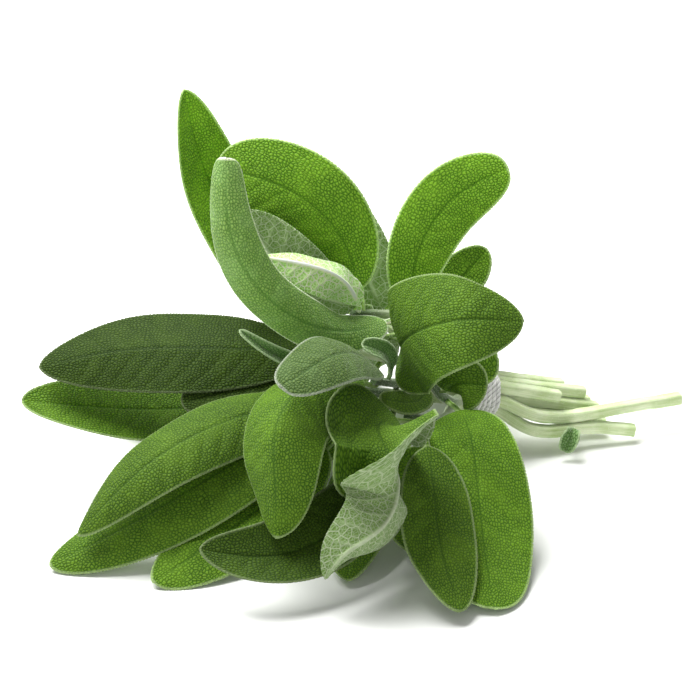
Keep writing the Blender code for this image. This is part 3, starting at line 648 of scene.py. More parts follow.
def relief_tree():
    """Raises the pebbles between the net of veins, sinks the veins and scallops the margin."""
    numbers = ("Pebble Size", "Pebble Height", "Vein Depth", "Tooth Pitch", "Tooth Depth")
    tree, given, result = new_tree("sage leaf relief", numbers, ("Upper Face", "Underside"))

    def stored(name, kind="FLOAT"):
        return add_node(tree, "GeometryNodeInputNamedAttribute", {"Name": name}, data_type=kind).outputs[0]

    flat = stored("flat", "FLOAT_VECTOR")
    opened = stored("opened")
    margin = stored("margin")
    vein = stored("vein")
    pebble = pebbles(
        tree, flat,
        add_node(tree, "ShaderNodeMath", (1.0, given["Pebble Size"]), operation="DIVIDE").outputs[0],
    )
    at_rim = add_node(
        tree, "ShaderNodeMapRange", (margin, 0.0, 0.0011, 1.0, 0.0), interpolation_type="SMOOTHSTEP",
    ).outputs[0]
    beat = add_node(
        tree, "ShaderNodeMath",
        (
            add_node(tree, "ShaderNodeMath", (stored("rim_run"), pi), operation="MULTIPLY").outputs[0],
            given["Tooth Pitch"],
        ),
        operation="DIVIDE",
    ).outputs[0]
    tooth = add_node(
        tree, "ShaderNodeMath", (add_node(tree, "ShaderNodeMath", (beat,), operation="SINE").outputs[0],),
        operation="ABSOLUTE",
    ).outputs[0]
    tooth = add_node(
        tree, "ShaderNodeMath",
        (add_node(tree, "ShaderNodeMath", (tooth, 0.6), operation="POWER").outputs[0], at_rim),
        operation="MULTIPLY",
    ).outputs[0]

    off_rim = add_node(tree, "ShaderNodeMath", (1.0, at_rim), operation="SUBTRACT").outputs[0]
    dome = add_node(
        tree, "ShaderNodeMath",
        (
            add_node(tree, "ShaderNodeMath", (pebble, off_rim), operation="MULTIPLY").outputs[0],
            add_node(tree, "ShaderNodeMath", (1.0, vein), operation="SUBTRACT").outputs[0],
        ),
        operation="MULTIPLY",
    ).outputs[0]
    bead = add_node(
        tree, "ShaderNodeMath",
        (dome, add_node(tree, "ShaderNodeMath", (tooth, 0.9), operation="MULTIPLY").outputs[0]),
        operation="ADD",
    ).outputs[0]
    rise = add_node(tree, "ShaderNodeMath", (bead, given["Pebble Height"]), operation="MULTIPLY").outputs[0]
    rise = add_node(
        tree, "ShaderNodeMath",
        (
            rise,
            add_node(tree, "ShaderNodeMath", (vein, given["Vein Depth"]), operation="MULTIPLY").outputs[0],
        ),
        operation="SUBTRACT",
    ).outputs[0]
    rise = add_node(tree, "ShaderNodeMath", (rise, opened), operation="MULTIPLY").outputs[0]
    reach = add_node(
        tree, "ShaderNodeMath",
        (
            add_node(tree, "ShaderNodeMath", (tooth, 0.5), operation="SUBTRACT").outputs[0],
            given["Tooth Depth"],
        ),
        operation="MULTIPLY",
    ).outputs[0]
    reach = add_node(
        tree, "ShaderNodeMath",
        (add_node(tree, "ShaderNodeMath", (reach, at_rim), operation="MULTIPLY").outputs[0], opened),
        operation="MULTIPLY",
    ).outputs[0]
    lifted = add_node(
        tree, "ShaderNodeVectorMath", {0: stored("lift_way", "FLOAT_VECTOR"), "Scale": rise},
        operation="SCALE",
    ).outputs[0]
    widened = add_node(
        tree, "ShaderNodeVectorMath", {0: stored("edge_way", "FLOAT_VECTOR"), "Scale": reach},
        operation="SCALE",
    ).outputs[0]
    offset = add_node(tree, "ShaderNodeVectorMath", (lifted, widened), operation="ADD").outputs[0]
    moved = add_node(tree, "GeometryNodeSetPosition", {"Geometry": given["Geometry"], "Offset": offset})
    smooth = add_node(tree, "GeometryNodeSetShadeSmooth", {"Geometry": moved.outputs[0]})
    under = add_node(tree, "ShaderNodeMath", (stored("skin"), 0.0), operation="LESS_THAN").outputs[0]
    real = add_node(tree, "GeometryNodeRealizeInstances", {"Geometry": smooth.outputs[0]})
    upper = add_node(
        tree, "GeometryNodeSetMaterial", {"Geometry": real.outputs[0], "Material": given["Upper Face"]},
    )
    both = add_node(
        tree, "GeometryNodeSetMaterial",
        {"Geometry": upper.outputs[0], "Selection": under, "Material": given["Underside"]},
    )
    tree.links.new(both.outputs[0], result)
    return tree


def pebbles(tree, flat, per_metre):
    """The domed cells of a sage leaf, 0 along the finest veins and 1 on top. The net is bent a little so that
    no row is straight, and the cells are a fifth longer along the leaf than across."""
    bend = add_node(tree, "ShaderNodeTexNoise", {"Vector": flat, "Scale": 260.0, "Detail": 1.0})
    centred = add_node(
        tree, "ShaderNodeVectorMath", (bend.outputs["Color"], (0.5, 0.5, 0.5)), operation="SUBTRACT",
    ).outputs[0]
    warped = add_node(
        tree, "ShaderNodeVectorMath",
        (
            flat,
            add_node(
                tree, "ShaderNodeVectorMath", {0: centred, "Scale": 0.0014}, operation="SCALE",
            ).outputs[0],
        ),
        operation="ADD",
    ).outputs[0]
    longer = add_node(
        tree, "ShaderNodeVectorMath", (warped, (1.0, 0.82, 1.0)), operation="MULTIPLY",
    ).outputs[0]
    values = {"Vector": longer, "Scale": per_metre, "Randomness": 0.85}
    cells = add_node(
        tree, "ShaderNodeTexVoronoi", values, voronoi_dimensions="2D", feature="DISTANCE_TO_EDGE",
    )
    return add_node(
        tree, "ShaderNodeMapRange", (cells.outputs["Distance"], 0.0, 0.3, 0.0, 1.0),
        interpolation_type="SMOOTHSTEP",
    ).outputs[0]


# ---------------------------------------------------------------- leaf materials


def leaf_material(name, colours, pebble_size, upper):
    """The skin of a sage leaf. It is matte and covered with short white hairs, so it looks greyer and
    paler where it is seen edge-on; the upper face is pebbled green, the underside pale with raised veins."""
    made = bpy.data.materials.new(name)
    made.use_nodes = True
    tree = made.node_tree
    tree.nodes.clear()

    def stored(key):
        return add_node(tree, "ShaderNodeAttribute", attribute_name=key)

    flat = stored("flat").outputs["Vector"]
    vein = stored("vein").outputs["Fac"]
    margin = stored("margin").outputs["Fac"]
    painted_light_level = stored("painted_light_level").outputs["Fac"]
    per_metre = 1 / pebble_size
    pebble = pebbles(tree, flat, per_metre)
    patch = add_node(tree, "ShaderNodeTexNoise", {"Vector": flat, "Scale": 95.0, "Detail": 2.0}).outputs[0]
    fleck = add_node(tree, "ShaderNodeTexNoise", {"Vector": flat, "Scale": 1400.0, "Detail": 2.0}).outputs[0]
    rim = add_node(
        tree, "ShaderNodeMapRange", (margin, 0.0001, 0.0009, 1.0, 0.0), interpolation_type="SMOOTHSTEP",
    ).outputs[0]

    if upper:
        # Painted shade: the crevices between the pebbles take the darker groove green, the pebbles' tops the
        # lighter green.
        body = add_node(
            tree, "ShaderNodeMix", {0: pebble, 6: colours["groove"], 7: colours["pebble"]},
            data_type="RGBA",
        ).outputs[2]
        body = add_node(
            tree, "ShaderNodeMix",
            {
                0: add_node(
                    tree, "ShaderNodeMapRange", (patch, 0.42, 0.68, 0.0, 0.4),
                    interpolation_type="SMOOTHSTEP",
                ).outputs[0],
                6: body, 7: colours["fresh"],
            },
            data_type="RGBA",
        ).outputs[2]
        # More painted shade: the colour darkens toward the groove green down into the crevices.
        body = add_node(
            tree, "ShaderNodeMix",
            {
                0: add_node(
                    tree, "ShaderNodeMath",
                    (
                        add_node(
                            tree, "ShaderNodeMapRange", (pebble, 1.0, 0.3, 0.0, 1.0),
                            interpolation_type="SMOOTHSTEP",
                        ).outputs[0],
                        0.3,
                    ),
                    operation="MULTIPLY",
                ).outputs[0],
                6: body, 7: colours["groove"],
            },
            data_type="RGBA",
        ).outputs[2]
        body = add_node(
            tree, "ShaderNodeMix",
            {
                0: add_node(
                    tree, "ShaderNodeMapRange", (vein, 0.3, 1.0, 0.0, 0.6), interpolation_type="SMOOTHSTEP",
                ).outputs[0],
                6: body, 7: colours["vein"],
            },
            data_type="RGBA",
        ).outputs[2]
        body = add_node(
            tree, "ShaderNodeMix",
            {
                0: add_node(tree, "ShaderNodeMath", (rim, 0.7), operation="MULTIPLY").outputs[0], 6: body,
                7: colours["rim"],
            },
            data_type="RGBA",
        ).outputs[2]
    else:
        values = {"Vector": flat, "Scale": per_metre * 0.36, "Randomness": 0.8}
        wide = add_node(
            tree, "ShaderNodeTexVoronoi", values, voronoi_dimensions="2D", feature="DISTANCE_TO_EDGE",
        )
        net = add_node(
            tree, "ShaderNodeMapRange", (wide.outputs["Distance"], 0.01, 0.11, 0.75, 0.0),
            interpolation_type="SMOOTHSTEP",
        ).outputs[0]
        fine = add_node(
            tree, "ShaderNodeMapRange", (pebble, 0.1, 0.8, 0.32, 0.0), interpolation_type="SMOOTHSTEP",
        ).outputs[0]
        lines = add_node(
            tree, "ShaderNodeMath",
            (add_node(tree, "ShaderNodeMath", (net, fine), operation="MAXIMUM").outputs[0], vein),
            operation="MAXIMUM",
        ).outputs[0]
        greener = add_node(
            tree, "ShaderNodeMapRange", (margin, 0.0, 0.006, 0.8, 0.0), interpolation_type="SMOOTHSTEP",
        ).outputs[0]
        body = add_node(
            tree, "ShaderNodeMix", {0: greener, 6: colours["cell"], 7: colours["cell_rim"]},
            data_type="RGBA",
        ).outputs[2]
        body = add_node(
            tree, "ShaderNodeMix",
            {
                0: add_node(
                    tree, "ShaderNodeMath",
                    (
                        add_node(
                            tree, "ShaderNodeMapRange", (patch, 0.4, 0.7, 0.0, 1.0),
                            interpolation_type="SMOOTHSTEP",
                        ).outputs[0],
                        0.5,
                    ),
                    operation="MULTIPLY",
                ).outputs[0],
                6: body, 7: colours["cell_rim"],
            },
            data_type="RGBA",
        ).outputs[2]
        body = add_node(
            tree, "ShaderNodeMix", {0: lines, 6: body, 7: colours["vein"]}, data_type="RGBA",
        ).outputs[2]
    # Painted light and shade: the colour is scaled by the leaf's painted light level and by random flecks.
    speckled = add_node(tree, "ShaderNodeMath", (fleck, 0.5, 0.75), operation="MULTIPLY_ADD").outputs[0]
    shade = add_node(tree, "ShaderNodeMath", (painted_light_level, speckled), operation="MULTIPLY").outputs[0]
    shaded = add_node(
        tree, "ShaderNodeVectorMath",
        (
            add_node(tree, "ShaderNodeVectorMath", {0: body, "Scale": shade}, operation="SCALE").outputs[0],
            (0.85, 0.85, 0.85),
        ),
        operation="MINIMUM",
    ).outputs[0]

    hairs = add_node(tree, "ShaderNodeTexNoise", {"Vector": flat, "Scale": 5200.0, "Detail": 1.0}).outputs[0]
    height = add_node(
        tree, "ShaderNodeMath",
        (
            pebble if upper else lines,
            add_node(tree, "ShaderNodeMath", (hairs, 0.35), operation="MULTIPLY").outputs[0],
        ),
        operation="ADD",
    ).outputs[0]
    bump = add_node(tree, "ShaderNodeBump", {"Strength": 0.8, "Distance": 0.00018, "Height": height})
    felt = add_node(
        tree, "ShaderNodeBsdfPrincipled",
        {
            "Base Color": shaded, "Roughness": 0.58 if upper else 0.8, "IOR": 1.42,
            "Specular IOR Level": 0.22, "Normal": bump.outputs[0],
            "Sheen Weight": colours["felt"], "Sheen Roughness": 0.42, "Sheen Tint": colours["hair"],
        },
    )
    glow = add_node(
        tree, "ShaderNodeVectorMath", (shaded, colours["glow"][:3]), operation="MULTIPLY",
    ).outputs[0]
    through = add_node(tree, "ShaderNodeBsdfTranslucent", {"Color": glow, "Normal": bump.outputs[0]})
    mixed = add_node(tree, "ShaderNodeMixShader", {0: 0.22, 1: felt.outputs[0], 2: through.outputs[0]})
    output = add_node(tree, "ShaderNodeOutputMaterial", {"Surface": mixed.outputs[0]})
    output.target = "ALL"
    return made


def leaf_colours(kind):
    """The colours of a leaf face. glow multiplies the face's own colour for the light that comes through."""
    sizes = bpy.context.scene.sage_leaves
    common = {"hair": with_alpha(sizes.hair_colour)}
    # groove is the painted shade in the crevices between the pebbles.
    if kind == "mature":
        upper = {
            "groove": with_alpha(linear("#426a12")), "pebble": with_alpha(sizes.upper_colour),
            "fresh": with_alpha(linear("#80ab2c")), "vein": with_alpha(linear("#3f6614")),
            "rim": with_alpha(linear("#bdd496")), "felt": 0.08, "glow": (1.9, 1.8, 0.45, 1),
        }
    elif kind == "felted":
        upper = {
            "groove": with_alpha(linear("#507432")), "pebble": with_alpha(linear("#7c9a4f")),
            "fresh": with_alpha(linear("#86a866")), "vein": with_alpha(linear("#446a2a")),
            "rim": with_alpha(linear("#e6eedb")), "felt": 0.35, "glow": (1.7, 1.5, 0.6, 1),
        }
    else:
        upper = {
            "groove": with_alpha(linear("#49702f")), "pebble": with_alpha(linear("#7fa061")),
            "fresh": with_alpha(linear("#8db06a")), "vein": with_alpha(linear("#5a8040")),
            "rim": with_alpha(linear("#c4d6ac")), "felt": 0.9, "glow": (1.3, 1.6, 0.8, 1),
        }
    under = {
        "cell": with_alpha(sizes.under_colour), "cell_rim": with_alpha(linear("#74964a")),
        "vein": with_alpha(linear("#d3dfbc")), "felt": 0.5, "glow": (1.0, 1.25, 0.7, 1),
    }
    return {**common, **upper}, {**common, **under}


def leaf_faces(kind, sizes):
    """The two materials of a kind of leaf, made once."""
    names = (f"{kind} sage leaf, felted upper face", f"{kind} sage leaf, veined underside")
    if names[0] not in bpy.data.materials:
        for name, colours, is_upper in zip(names, leaf_colours(kind), (True, False)):
            leaf_material(name, colours, sizes.pebble_size, is_upper)
    return [bpy.data.materials[name] for name in names]


def build_leaves(names, slot):
    sizes = bpy.context.scene.sage_leaves
    tree = bpy.data.node_groups.get("sage leaf relief") or relief_tree()
    shift = place_of_bunch()
    for seed, leaf in enumerate(LEAVES):
        if leaf["name"] not in names:
            continue
        kind = "young" if slot == "young_sage_leaf" else "felted" if leaf["name"] in FELTED else "mature"
        upper, under = leaf_faces(kind, sizes)
        spacing = sizes.rear_spacing if leaf["name"] in REAR_LEAVES else sizes.mesh_spacing
        piece = blade_mesh(leaf, shift, sizes, spacing / MM, seed)
        small = min(1.0, leaf["width"] / 16)
        piece = grown(piece, tree, {
            "Pebble Size": sizes.pebble_size,
            "Pebble Height": sizes.pebble_height * small,
            "Vein Depth": sizes.vein_depth * small,
            "Tooth Pitch": sizes.tooth_pitch,
            "Tooth Depth": sizes.tooth_depth * small,
            "Upper Face": upper,
            "Underside": under,
        })
        finish_piece(piece, leaf["name"])


# ---------------------------------------------------------------- stems


def add_guide(name, points, radii=None):
    """A polyline curve in metres for a tree to sweep along."""
    data = bpy.data.curves.new(name, "CURVE")
    data.dimensions = "3D"
    line = data.splines.new("POLY")
    line.points.add(len(points) - 1)
    for i, point in enumerate(points):
        line.points[i].co = (*(point * MM), 1)
        line.points[i].radius = radii[i] * MM if radii is not None else 1.0
    made = bpy.data.objects.new(name, data)
    bpy.context.scene.collection.objects.link(made)
    return made


def stem_tree():
    """Sweeps a four-sided outline with rounded corners along a stem, roughens it and adds its hairs."""
    numbers = ("Hair Length", "Hair Radius", "Hairs Per Square Metre")
    tree, given, result = new_tree("four-sided stem", numbers, ("Bark", "Pith", "Hair"))
    run = add_node(tree, "GeometryNodeSplineParameter").outputs["Length"]
    marked = add_node(
        tree, "GeometryNodeStoreNamedAttribute",
        {"Geometry": given["Geometry"], "Name": "run", "Value": run}, data_type="FLOAT", domain="POINT",
    )
    square = add_node(tree, "GeometryNodeCurvePrimitiveQuadrilateral", {"Width": 1.92, "Height": 1.92})
    rounded = add_node(
        tree, "GeometryNodeFilletCurve",
        {"Curve": square.outputs[0], "Count": 4, "Radius": 0.55, "Limit Radius": True}, mode="POLY",
    )
    outline = add_node(tree, "GeometryNodeResampleCurve", {"Curve": rounded.outputs[0], "Count": 28})
    angle = add_node(tree, "GeometryNodeSplineParameter").outputs["Factor"]
    outline = add_node(
        tree, "GeometryNodeStoreNamedAttribute",
        {"Geometry": outline.outputs[0], "Name": "around", "Value": angle}, data_type="FLOAT", domain="POINT",
    )
    radius = add_node(tree, "GeometryNodeInputRadius").outputs[0]
    swept = add_node(
        tree, "GeometryNodeCurveToMesh",
        {"Curve": marked.outputs[0], "Profile Curve": outline.outputs[0], "Scale": radius, "Fill Caps": True},
    )
    place = add_node(tree, "GeometryNodeInputPosition").outputs[0]
    lumps = add_node(tree, "ShaderNodeTexNoise", {"Vector": place, "Scale": 180.0, "Detail": 2.0}).outputs[0]
    normal = add_node(tree, "GeometryNodeInputNormal").outputs[0]
    rise = add_node(
        tree, "ShaderNodeMath",
        (add_node(tree, "ShaderNodeMath", (lumps, 0.5), operation="SUBTRACT").outputs[0], 0.0007),
        operation="MULTIPLY",
    ).outputs[0]
    uneven = add_node(
        tree, "GeometryNodeSetPosition",
        {
            "Geometry": swept.outputs[0],
            "Offset": add_node(
                tree, "ShaderNodeVectorMath", {0: normal, "Scale": rise}, operation="SCALE",
            ).outputs[0],
        },
    )
    smooth = add_node(tree, "GeometryNodeSetShadeSmooth", {"Geometry": uneven.outputs[0]})
    barked = add_node(
        tree, "GeometryNodeSetMaterial", {"Geometry": smooth.outputs[0], "Material": given["Bark"]}
    )
    at_cut = add_node(
        tree, "ShaderNodeMath",
        (
            add_node(tree, "GeometryNodeInputNamedAttribute", {"Name": "run"}, data_type="FLOAT").outputs[0],
            0.0001,
        ),
        operation="LESS_THAN",
    ).outputs[0]
    cut = add_node(
        tree, "GeometryNodeSetMaterial",
        {"Geometry": barked.outputs[0], "Selection": at_cut, "Material": given["Pith"]},
    )
    hairs = hairs_on(tree, smooth.outputs[0], given)
    joined = add_node(tree, "GeometryNodeJoinGeometry")
    tree.links.new(hairs, joined.inputs[0])
    tree.links.new(cut.outputs[0], joined.inputs[0])
    tree.links.new(joined.outputs[0], result)
    return tree


def hairs_on(tree, skin, given):
    """Short hairs scattered over a skin, each a cone with three sides that leans a little."""
    values = {"Mesh": skin, "Density": given["Hairs Per Square Metre"], "Seed": 4}
    roots = add_node(tree, "GeometryNodeDistributePointsOnFaces", values)
    cone = add_node(
        tree, "GeometryNodeMeshCone",
        {
            "Vertices": 3, "Side Segments": 1, "Radius Bottom": given["Hair Radius"],
            "Depth": given["Hair Length"],
        },
        fill_type="NONE",
    )
    leaning = add_node(
        tree, "FunctionNodeRandomValue",
        {0: (-0.7, -0.7, 0.0), 1: (0.7, 0.7, 6.28), "Seed": 11}, data_type="FLOAT_VECTOR",
    )
    turned = add_node(
        tree, "FunctionNodeRotateRotation",
        {"Rotation": roots.outputs["Rotation"], "Rotate By": leaning.outputs[0]}, rotation_space="LOCAL",
    )
    size = add_node(tree, "FunctionNodeRandomValue", {2: 0.5, 3: 1.2, "Seed": 23}, data_type="FLOAT")
    placed = add_node(
        tree, "GeometryNodeInstanceOnPoints",
        {"Points": roots.outputs[0], "Instance": cone.outputs[0], "Rotation": turned.outputs[0],
         "Scale": size.outputs[1]},
    )
    real = add_node(tree, "GeometryNodeRealizeInstances", {"Geometry": placed.outputs[0]})
    return add_node(
        tree, "GeometryNodeSetMaterial", {"Geometry": real.outputs[0], "Material": given["Hair"]}
    ).outputs[0]


def stem_material(name, light, dark, felt):
    """Soft green stem bark: faint ridges run along it, and a bloom of hairs makes it pale."""
    made = bpy.data.materials.new(name)
    made.use_nodes = True
    tree = made.node_tree
    place = add_node(tree, "ShaderNodeTexCoord").outputs["Object"]
    around = add_node(tree, "ShaderNodeAttribute", attribute_name="around").outputs["Fac"]
    run = add_node(tree, "ShaderNodeAttribute", attribute_name="run").outputs["Fac"]
    groove = add_node(
        tree, "ShaderNodeMath",
        (
            add_node(
                tree, "ShaderNodeMath",
                (add_node(tree, "ShaderNodeMath", (around, 4 * pi), operation="MULTIPLY").outputs[0],),
                operation="SINE",
            ).outputs[0],
        ),
        operation="ABSOLUTE",
    ).outputs[0]
    blotch = add_node(tree, "ShaderNodeTexNoise", {"Vector": place, "Scale": 120.0, "Detail": 3.0}).outputs[0]
    line = add_node(
        tree, "ShaderNodeCombineXYZ",
        {
            0: add_node(tree, "ShaderNodeMath", (around, 30.0), operation="MULTIPLY").outputs[0],
            1: add_node(tree, "ShaderNodeMath", (run, 90.0), operation="MULTIPLY").outputs[0],
        },
    )
    fibre = add_node(
        tree, "ShaderNodeTexNoise", {"Vector": line.outputs[0], "Scale": 1.0, "Detail": 3.0},
    ).outputs[0]
    share = add_node(
        tree, "ShaderNodeMath",
        (
            add_node(
                tree, "ShaderNodeMath",
                (
                    add_node(
                        tree, "ShaderNodeMapRange", (blotch, 0.35, 0.65, 0.0, 1.0),
                        interpolation_type="SMOOTHSTEP",
                    ).outputs[0],
                    add_node(
                        tree, "ShaderNodeMapRange", (fibre, 0.3, 0.7, 0.0, 1.0),
                        interpolation_type="SMOOTHSTEP",
                    ).outputs[0],
                ),
                operation="ADD",
            ).outputs[0],
            0.5,
        ),
        operation="MULTIPLY",
    ).outputs[0]
    body = add_node(tree, "ShaderNodeMix", {0: share, 6: dark, 7: light}, data_type="RGBA").outputs[2]
    body = add_node(
        tree, "ShaderNodeMix",
        {
            0: add_node(
                tree, "ShaderNodeMath",
                (add_node(tree, "ShaderNodeMath", (1.0, groove), operation="SUBTRACT").outputs[0], 0.25),
                operation="MULTIPLY",
            ).outputs[0],
            6: body, 7: dark,
        },
        data_type="RGBA",
    ).outputs[2]
    # Painted shade: past the tie, where the stems run into the shade inside the bunch, the bark turns a dark
    # green.
    body = add_node(
        tree, "ShaderNodeMix",
        {
            0: add_node(
                tree, "ShaderNodeMapRange", (run, 0.068, 0.095, 0.0, 1.0), interpolation_type="SMOOTHSTEP",
            ).outputs[0],
            6: body, 7: with_alpha(linear("#35521a")),
        },
        data_type="RGBA",
    ).outputs[2]
    bump = add_node(tree, "ShaderNodeBump", {"Strength": 0.5, "Distance": 0.0002, "Height": fibre})
    skin = tree.nodes["Principled BSDF"]
    fill(tree, skin, {
        "Base Color": body, "Normal": bump.outputs[0], "Roughness": 0.6, "Sheen Weight": felt,
        "Sheen Roughness": 0.45, "Sheen Tint": with_alpha(linear("#eef4e4")), "Subsurface Weight": 0.15,
        "Subsurface Radius": (0.6, 1.0, 0.3), "Subsurface Scale": 0.001,
    })
    return made


def hair_material():
    """Short white plant hairs: clear walls full of air, so they scatter light and look white."""
    made = bpy.data.materials.new("white sage hairs")
    made.use_nodes = True
    tree = made.node_tree
    place = add_node(tree, "ShaderNodeTexCoord").outputs["Object"]
    blotch = add_node(tree, "ShaderNodeTexNoise", {"Vector": place, "Scale": 400.0}).outputs[0]
    colour = add_node(
        tree, "ShaderNodeMix",
        {0: blotch, 6: with_alpha(linear("#cfdcbd")), 7: with_alpha(linear("#f2f6ea"))}, data_type="RGBA",
    ).outputs[2]
    hair = tree.nodes["Principled BSDF"]
    fill(tree, hair, {"Base Color": colour, "Roughness": 0.5})
    return made


def pith_material():
    """Freshly cut stem: moist pale pith inside a greener ring of bark."""
    made = bpy.data.materials.new("cut sage pith")
    made.use_nodes = True
    tree = made.node_tree
    place = add_node(tree, "ShaderNodeTexCoord").outputs["Object"]
    pores = add_node(tree, "ShaderNodeTexVoronoi", {"Vector": place, "Scale": 4200.0}).outputs["Distance"]
    colour = add_node(
        tree, "ShaderNodeMix",
        {
            0: add_node(
                tree, "ShaderNodeMapRange", (pores, 0.1, 0.6, 0.0, 1.0), interpolation_type="SMOOTHSTEP",
            ).outputs[0],
            6: with_alpha(linear("#e3e8c0")), 7: with_alpha(linear("#b9c27c")),
        },
        data_type="RGBA",
    ).outputs[2]
    pith = tree.nodes["Principled BSDF"]
    bump = add_node(tree, "ShaderNodeBump", {"Strength": 0.4, "Distance": 0.0002, "Height": pores})
    fill(tree, pith, {"Base Color": colour, "Normal": bump.outputs[0], "Roughness": 0.5})
    return made


# ---------------------------------------------------------------- twine


def twine_tree():
    """Three cotton strands twisted together, swept along a path with its twist in the curve's tilt."""
    tree, given, result = new_tree("twisted twine", ("Diameter", "Lay"), ("Cotton",))
    run = add_node(tree, "GeometryNodeSplineParameter").outputs["Length"]
    turn = add_node(
        tree, "ShaderNodeMath",
        (add_node(tree, "ShaderNodeMath", (run, 2 * pi), operation="MULTIPLY").outputs[0], given["Lay"]),
        operation="DIVIDE",
    ).outputs[0]
    tilted = add_node(tree, "GeometryNodeSetCurveTilt", {"Curve": given["Geometry"], "Tilt": turn})
    marked = add_node(
        tree, "GeometryNodeStoreNamedAttribute",
        {"Geometry": tilted.outputs[0], "Name": "run", "Value": run}, data_type="FLOAT", domain="POINT",
    )
    circle = add_node(tree, "GeometryNodeCurvePrimitiveCircle", {"Resolution": 30, "Radius": 1.0})
    angle = add_node(tree, "GeometryNodeSplineParameter").outputs["Factor"]
    lobe = add_node(
        tree, "ShaderNodeMath",
        (
            add_node(
                tree, "ShaderNodeMath",
                (add_node(tree, "ShaderNodeMath", (angle, 3 * pi), operation="MULTIPLY").outputs[0],),
                operation="SINE",
            ).outputs[0],
        ),
        operation="ABSOLUTE",
    ).outputs[0]
    size = add_node(
        tree, "ShaderNodeMath",
        (add_node(tree, "ShaderNodeMath", (lobe, 0.7), operation="POWER").outputs[0], 0.16, 0.34),
        operation="MULTIPLY_ADD",
    ).outputs[0]
    place = add_node(tree, "GeometryNodeInputPosition").outputs[0]
    spread = add_node(
        tree, "ShaderNodeVectorMath",
        {
            0: place,
            "Scale": add_node(
                tree, "ShaderNodeMath", (size, given["Diameter"]), operation="MULTIPLY",
            ).outputs[0],
        },
        operation="SCALE",
    ).outputs[0]
    outline = add_node(tree, "GeometryNodeSetPosition", {"Geometry": circle.outputs[0], "Position": spread})
    outline = add_node(
        tree, "GeometryNodeStoreNamedAttribute",
        {"Geometry": outline.outputs[0], "Name": "around", "Value": angle}, data_type="FLOAT", domain="POINT",
    )
    swept = add_node(
        tree, "GeometryNodeCurveToMesh",
        {"Curve": marked.outputs[0], "Profile Curve": outline.outputs[0], "Fill Caps": True},
    )
    smooth = add_node(tree, "GeometryNodeSetShadeSmooth", {"Geometry": swept.outputs[0]})
    real = add_node(tree, "GeometryNodeRealizeInstances", {"Geometry": smooth.outputs[0]})
    clothed = add_node(
        tree, "GeometryNodeSetMaterial", {"Geometry": real.outputs[0], "Material": given["Cotton"]}
    )
    tree.links.new(clothed.outputs[0], result)
    return tree


def cotton_material(colour):
    """Bleached cotton yarn: matte, with fine fibres that run along each strand."""
    made = bpy.data.materials.new("bleached cotton twine")
    made.use_nodes = True
    tree = made.node_tree
    around = add_node(tree, "ShaderNodeAttribute", attribute_name="around").outputs["Fac"]
    run = add_node(tree, "ShaderNodeAttribute", attribute_name="run").outputs["Fac"]
    line = add_node(
        tree, "ShaderNodeCombineXYZ",
        {
            0: add_node(tree, "ShaderNodeMath", (around, 60.0), operation="MULTIPLY").outputs[0],
            1: add_node(tree, "ShaderNodeMath", (run, 900.0), operation="MULTIPLY").outputs[0],
        },
    )
    fibre = add_node(
        tree, "ShaderNodeTexNoise", {"Vector": line.outputs[0], "Scale": 1.0, "Detail": 4.0},
    ).outputs[0]
    lobe = add_node(
        tree, "ShaderNodeMath",
        (
            add_node(
                tree, "ShaderNodeMath",
                (add_node(tree, "ShaderNodeMath", (around, 3 * pi), operation="MULTIPLY").outputs[0],),
                operation="SINE",
            ).outputs[0],
        ),
        operation="ABSOLUTE",
    ).outputs[0]
    # Painted shade: the cotton is darker in the crevices where the three strands meet; some fibres also take
    # this darker colour.
    strand_shade_and_fibre = with_alpha(tuple(c * 0.55 for c in colour[:3]))
    body = add_node(
        tree, "ShaderNodeMix",
        {
            0: add_node(
                tree, "ShaderNodeMapRange", (lobe, 0.05, 0.6, 0.0, 1.0), interpolation_type="SMOOTHSTEP",
            ).outputs[0],
            6: strand_shade_and_fibre, 7: with_alpha(colour),
        },
        data_type="RGBA",
    ).outputs[2]
    body = add_node(
        tree, "ShaderNodeMix",
        {
            0: add_node(
                tree, "ShaderNodeMath",
                (
                    add_node(
                        tree, "ShaderNodeMapRange", (fibre, 0.6, 0.35, 0.0, 1.0),
                        interpolation_type="SMOOTHSTEP",
                    ).outputs[0],
                    0.3,
                ),
                operation="MULTIPLY",
            ).outputs[0],
            6: body, 7: strand_shade_and_fibre,
        },
        data_type="RGBA",
    ).outputs[2]
    yarn = tree.nodes["Principled BSDF"]
    bump = add_node(tree, "ShaderNodeBump", {"Strength": 0.6, "Distance": 0.0002, "Height": fibre})
    fill(tree, yarn, {
        "Base Color": body, "Normal": bump.outputs[0], "Roughness": 0.85, "Sheen Weight": 0.4,
    })
    return made


def build_twine(name, path, node_name):
    sizes = bpy.context.scene.sage_twine
    tree = bpy.data.node_groups.get("twisted twine") or twine_tree()
    cotton = bpy.data.materials.get("bleached cotton twine") or cotton_material(sizes.colour)
    values = {"Diameter": sizes.diameter, "Lay": sizes.lay, "Cotton": cotton}
    piece = grown(add_guide(name, path), tree, values)
    finish_piece(piece, node_name)


# ---------------------------------------------------------------- what a user may change


def length(label, about, millimetres):
    return bpy.props.FloatProperty(name=label, description=about, default=millimetres * MM, unit="LENGTH")


def colour(label, about, hex_colour):
    return bpy.props.FloatVectorProperty(
        name=label, description=about, default=linear(hex_colour), subtype="COLOR", size=3
    )


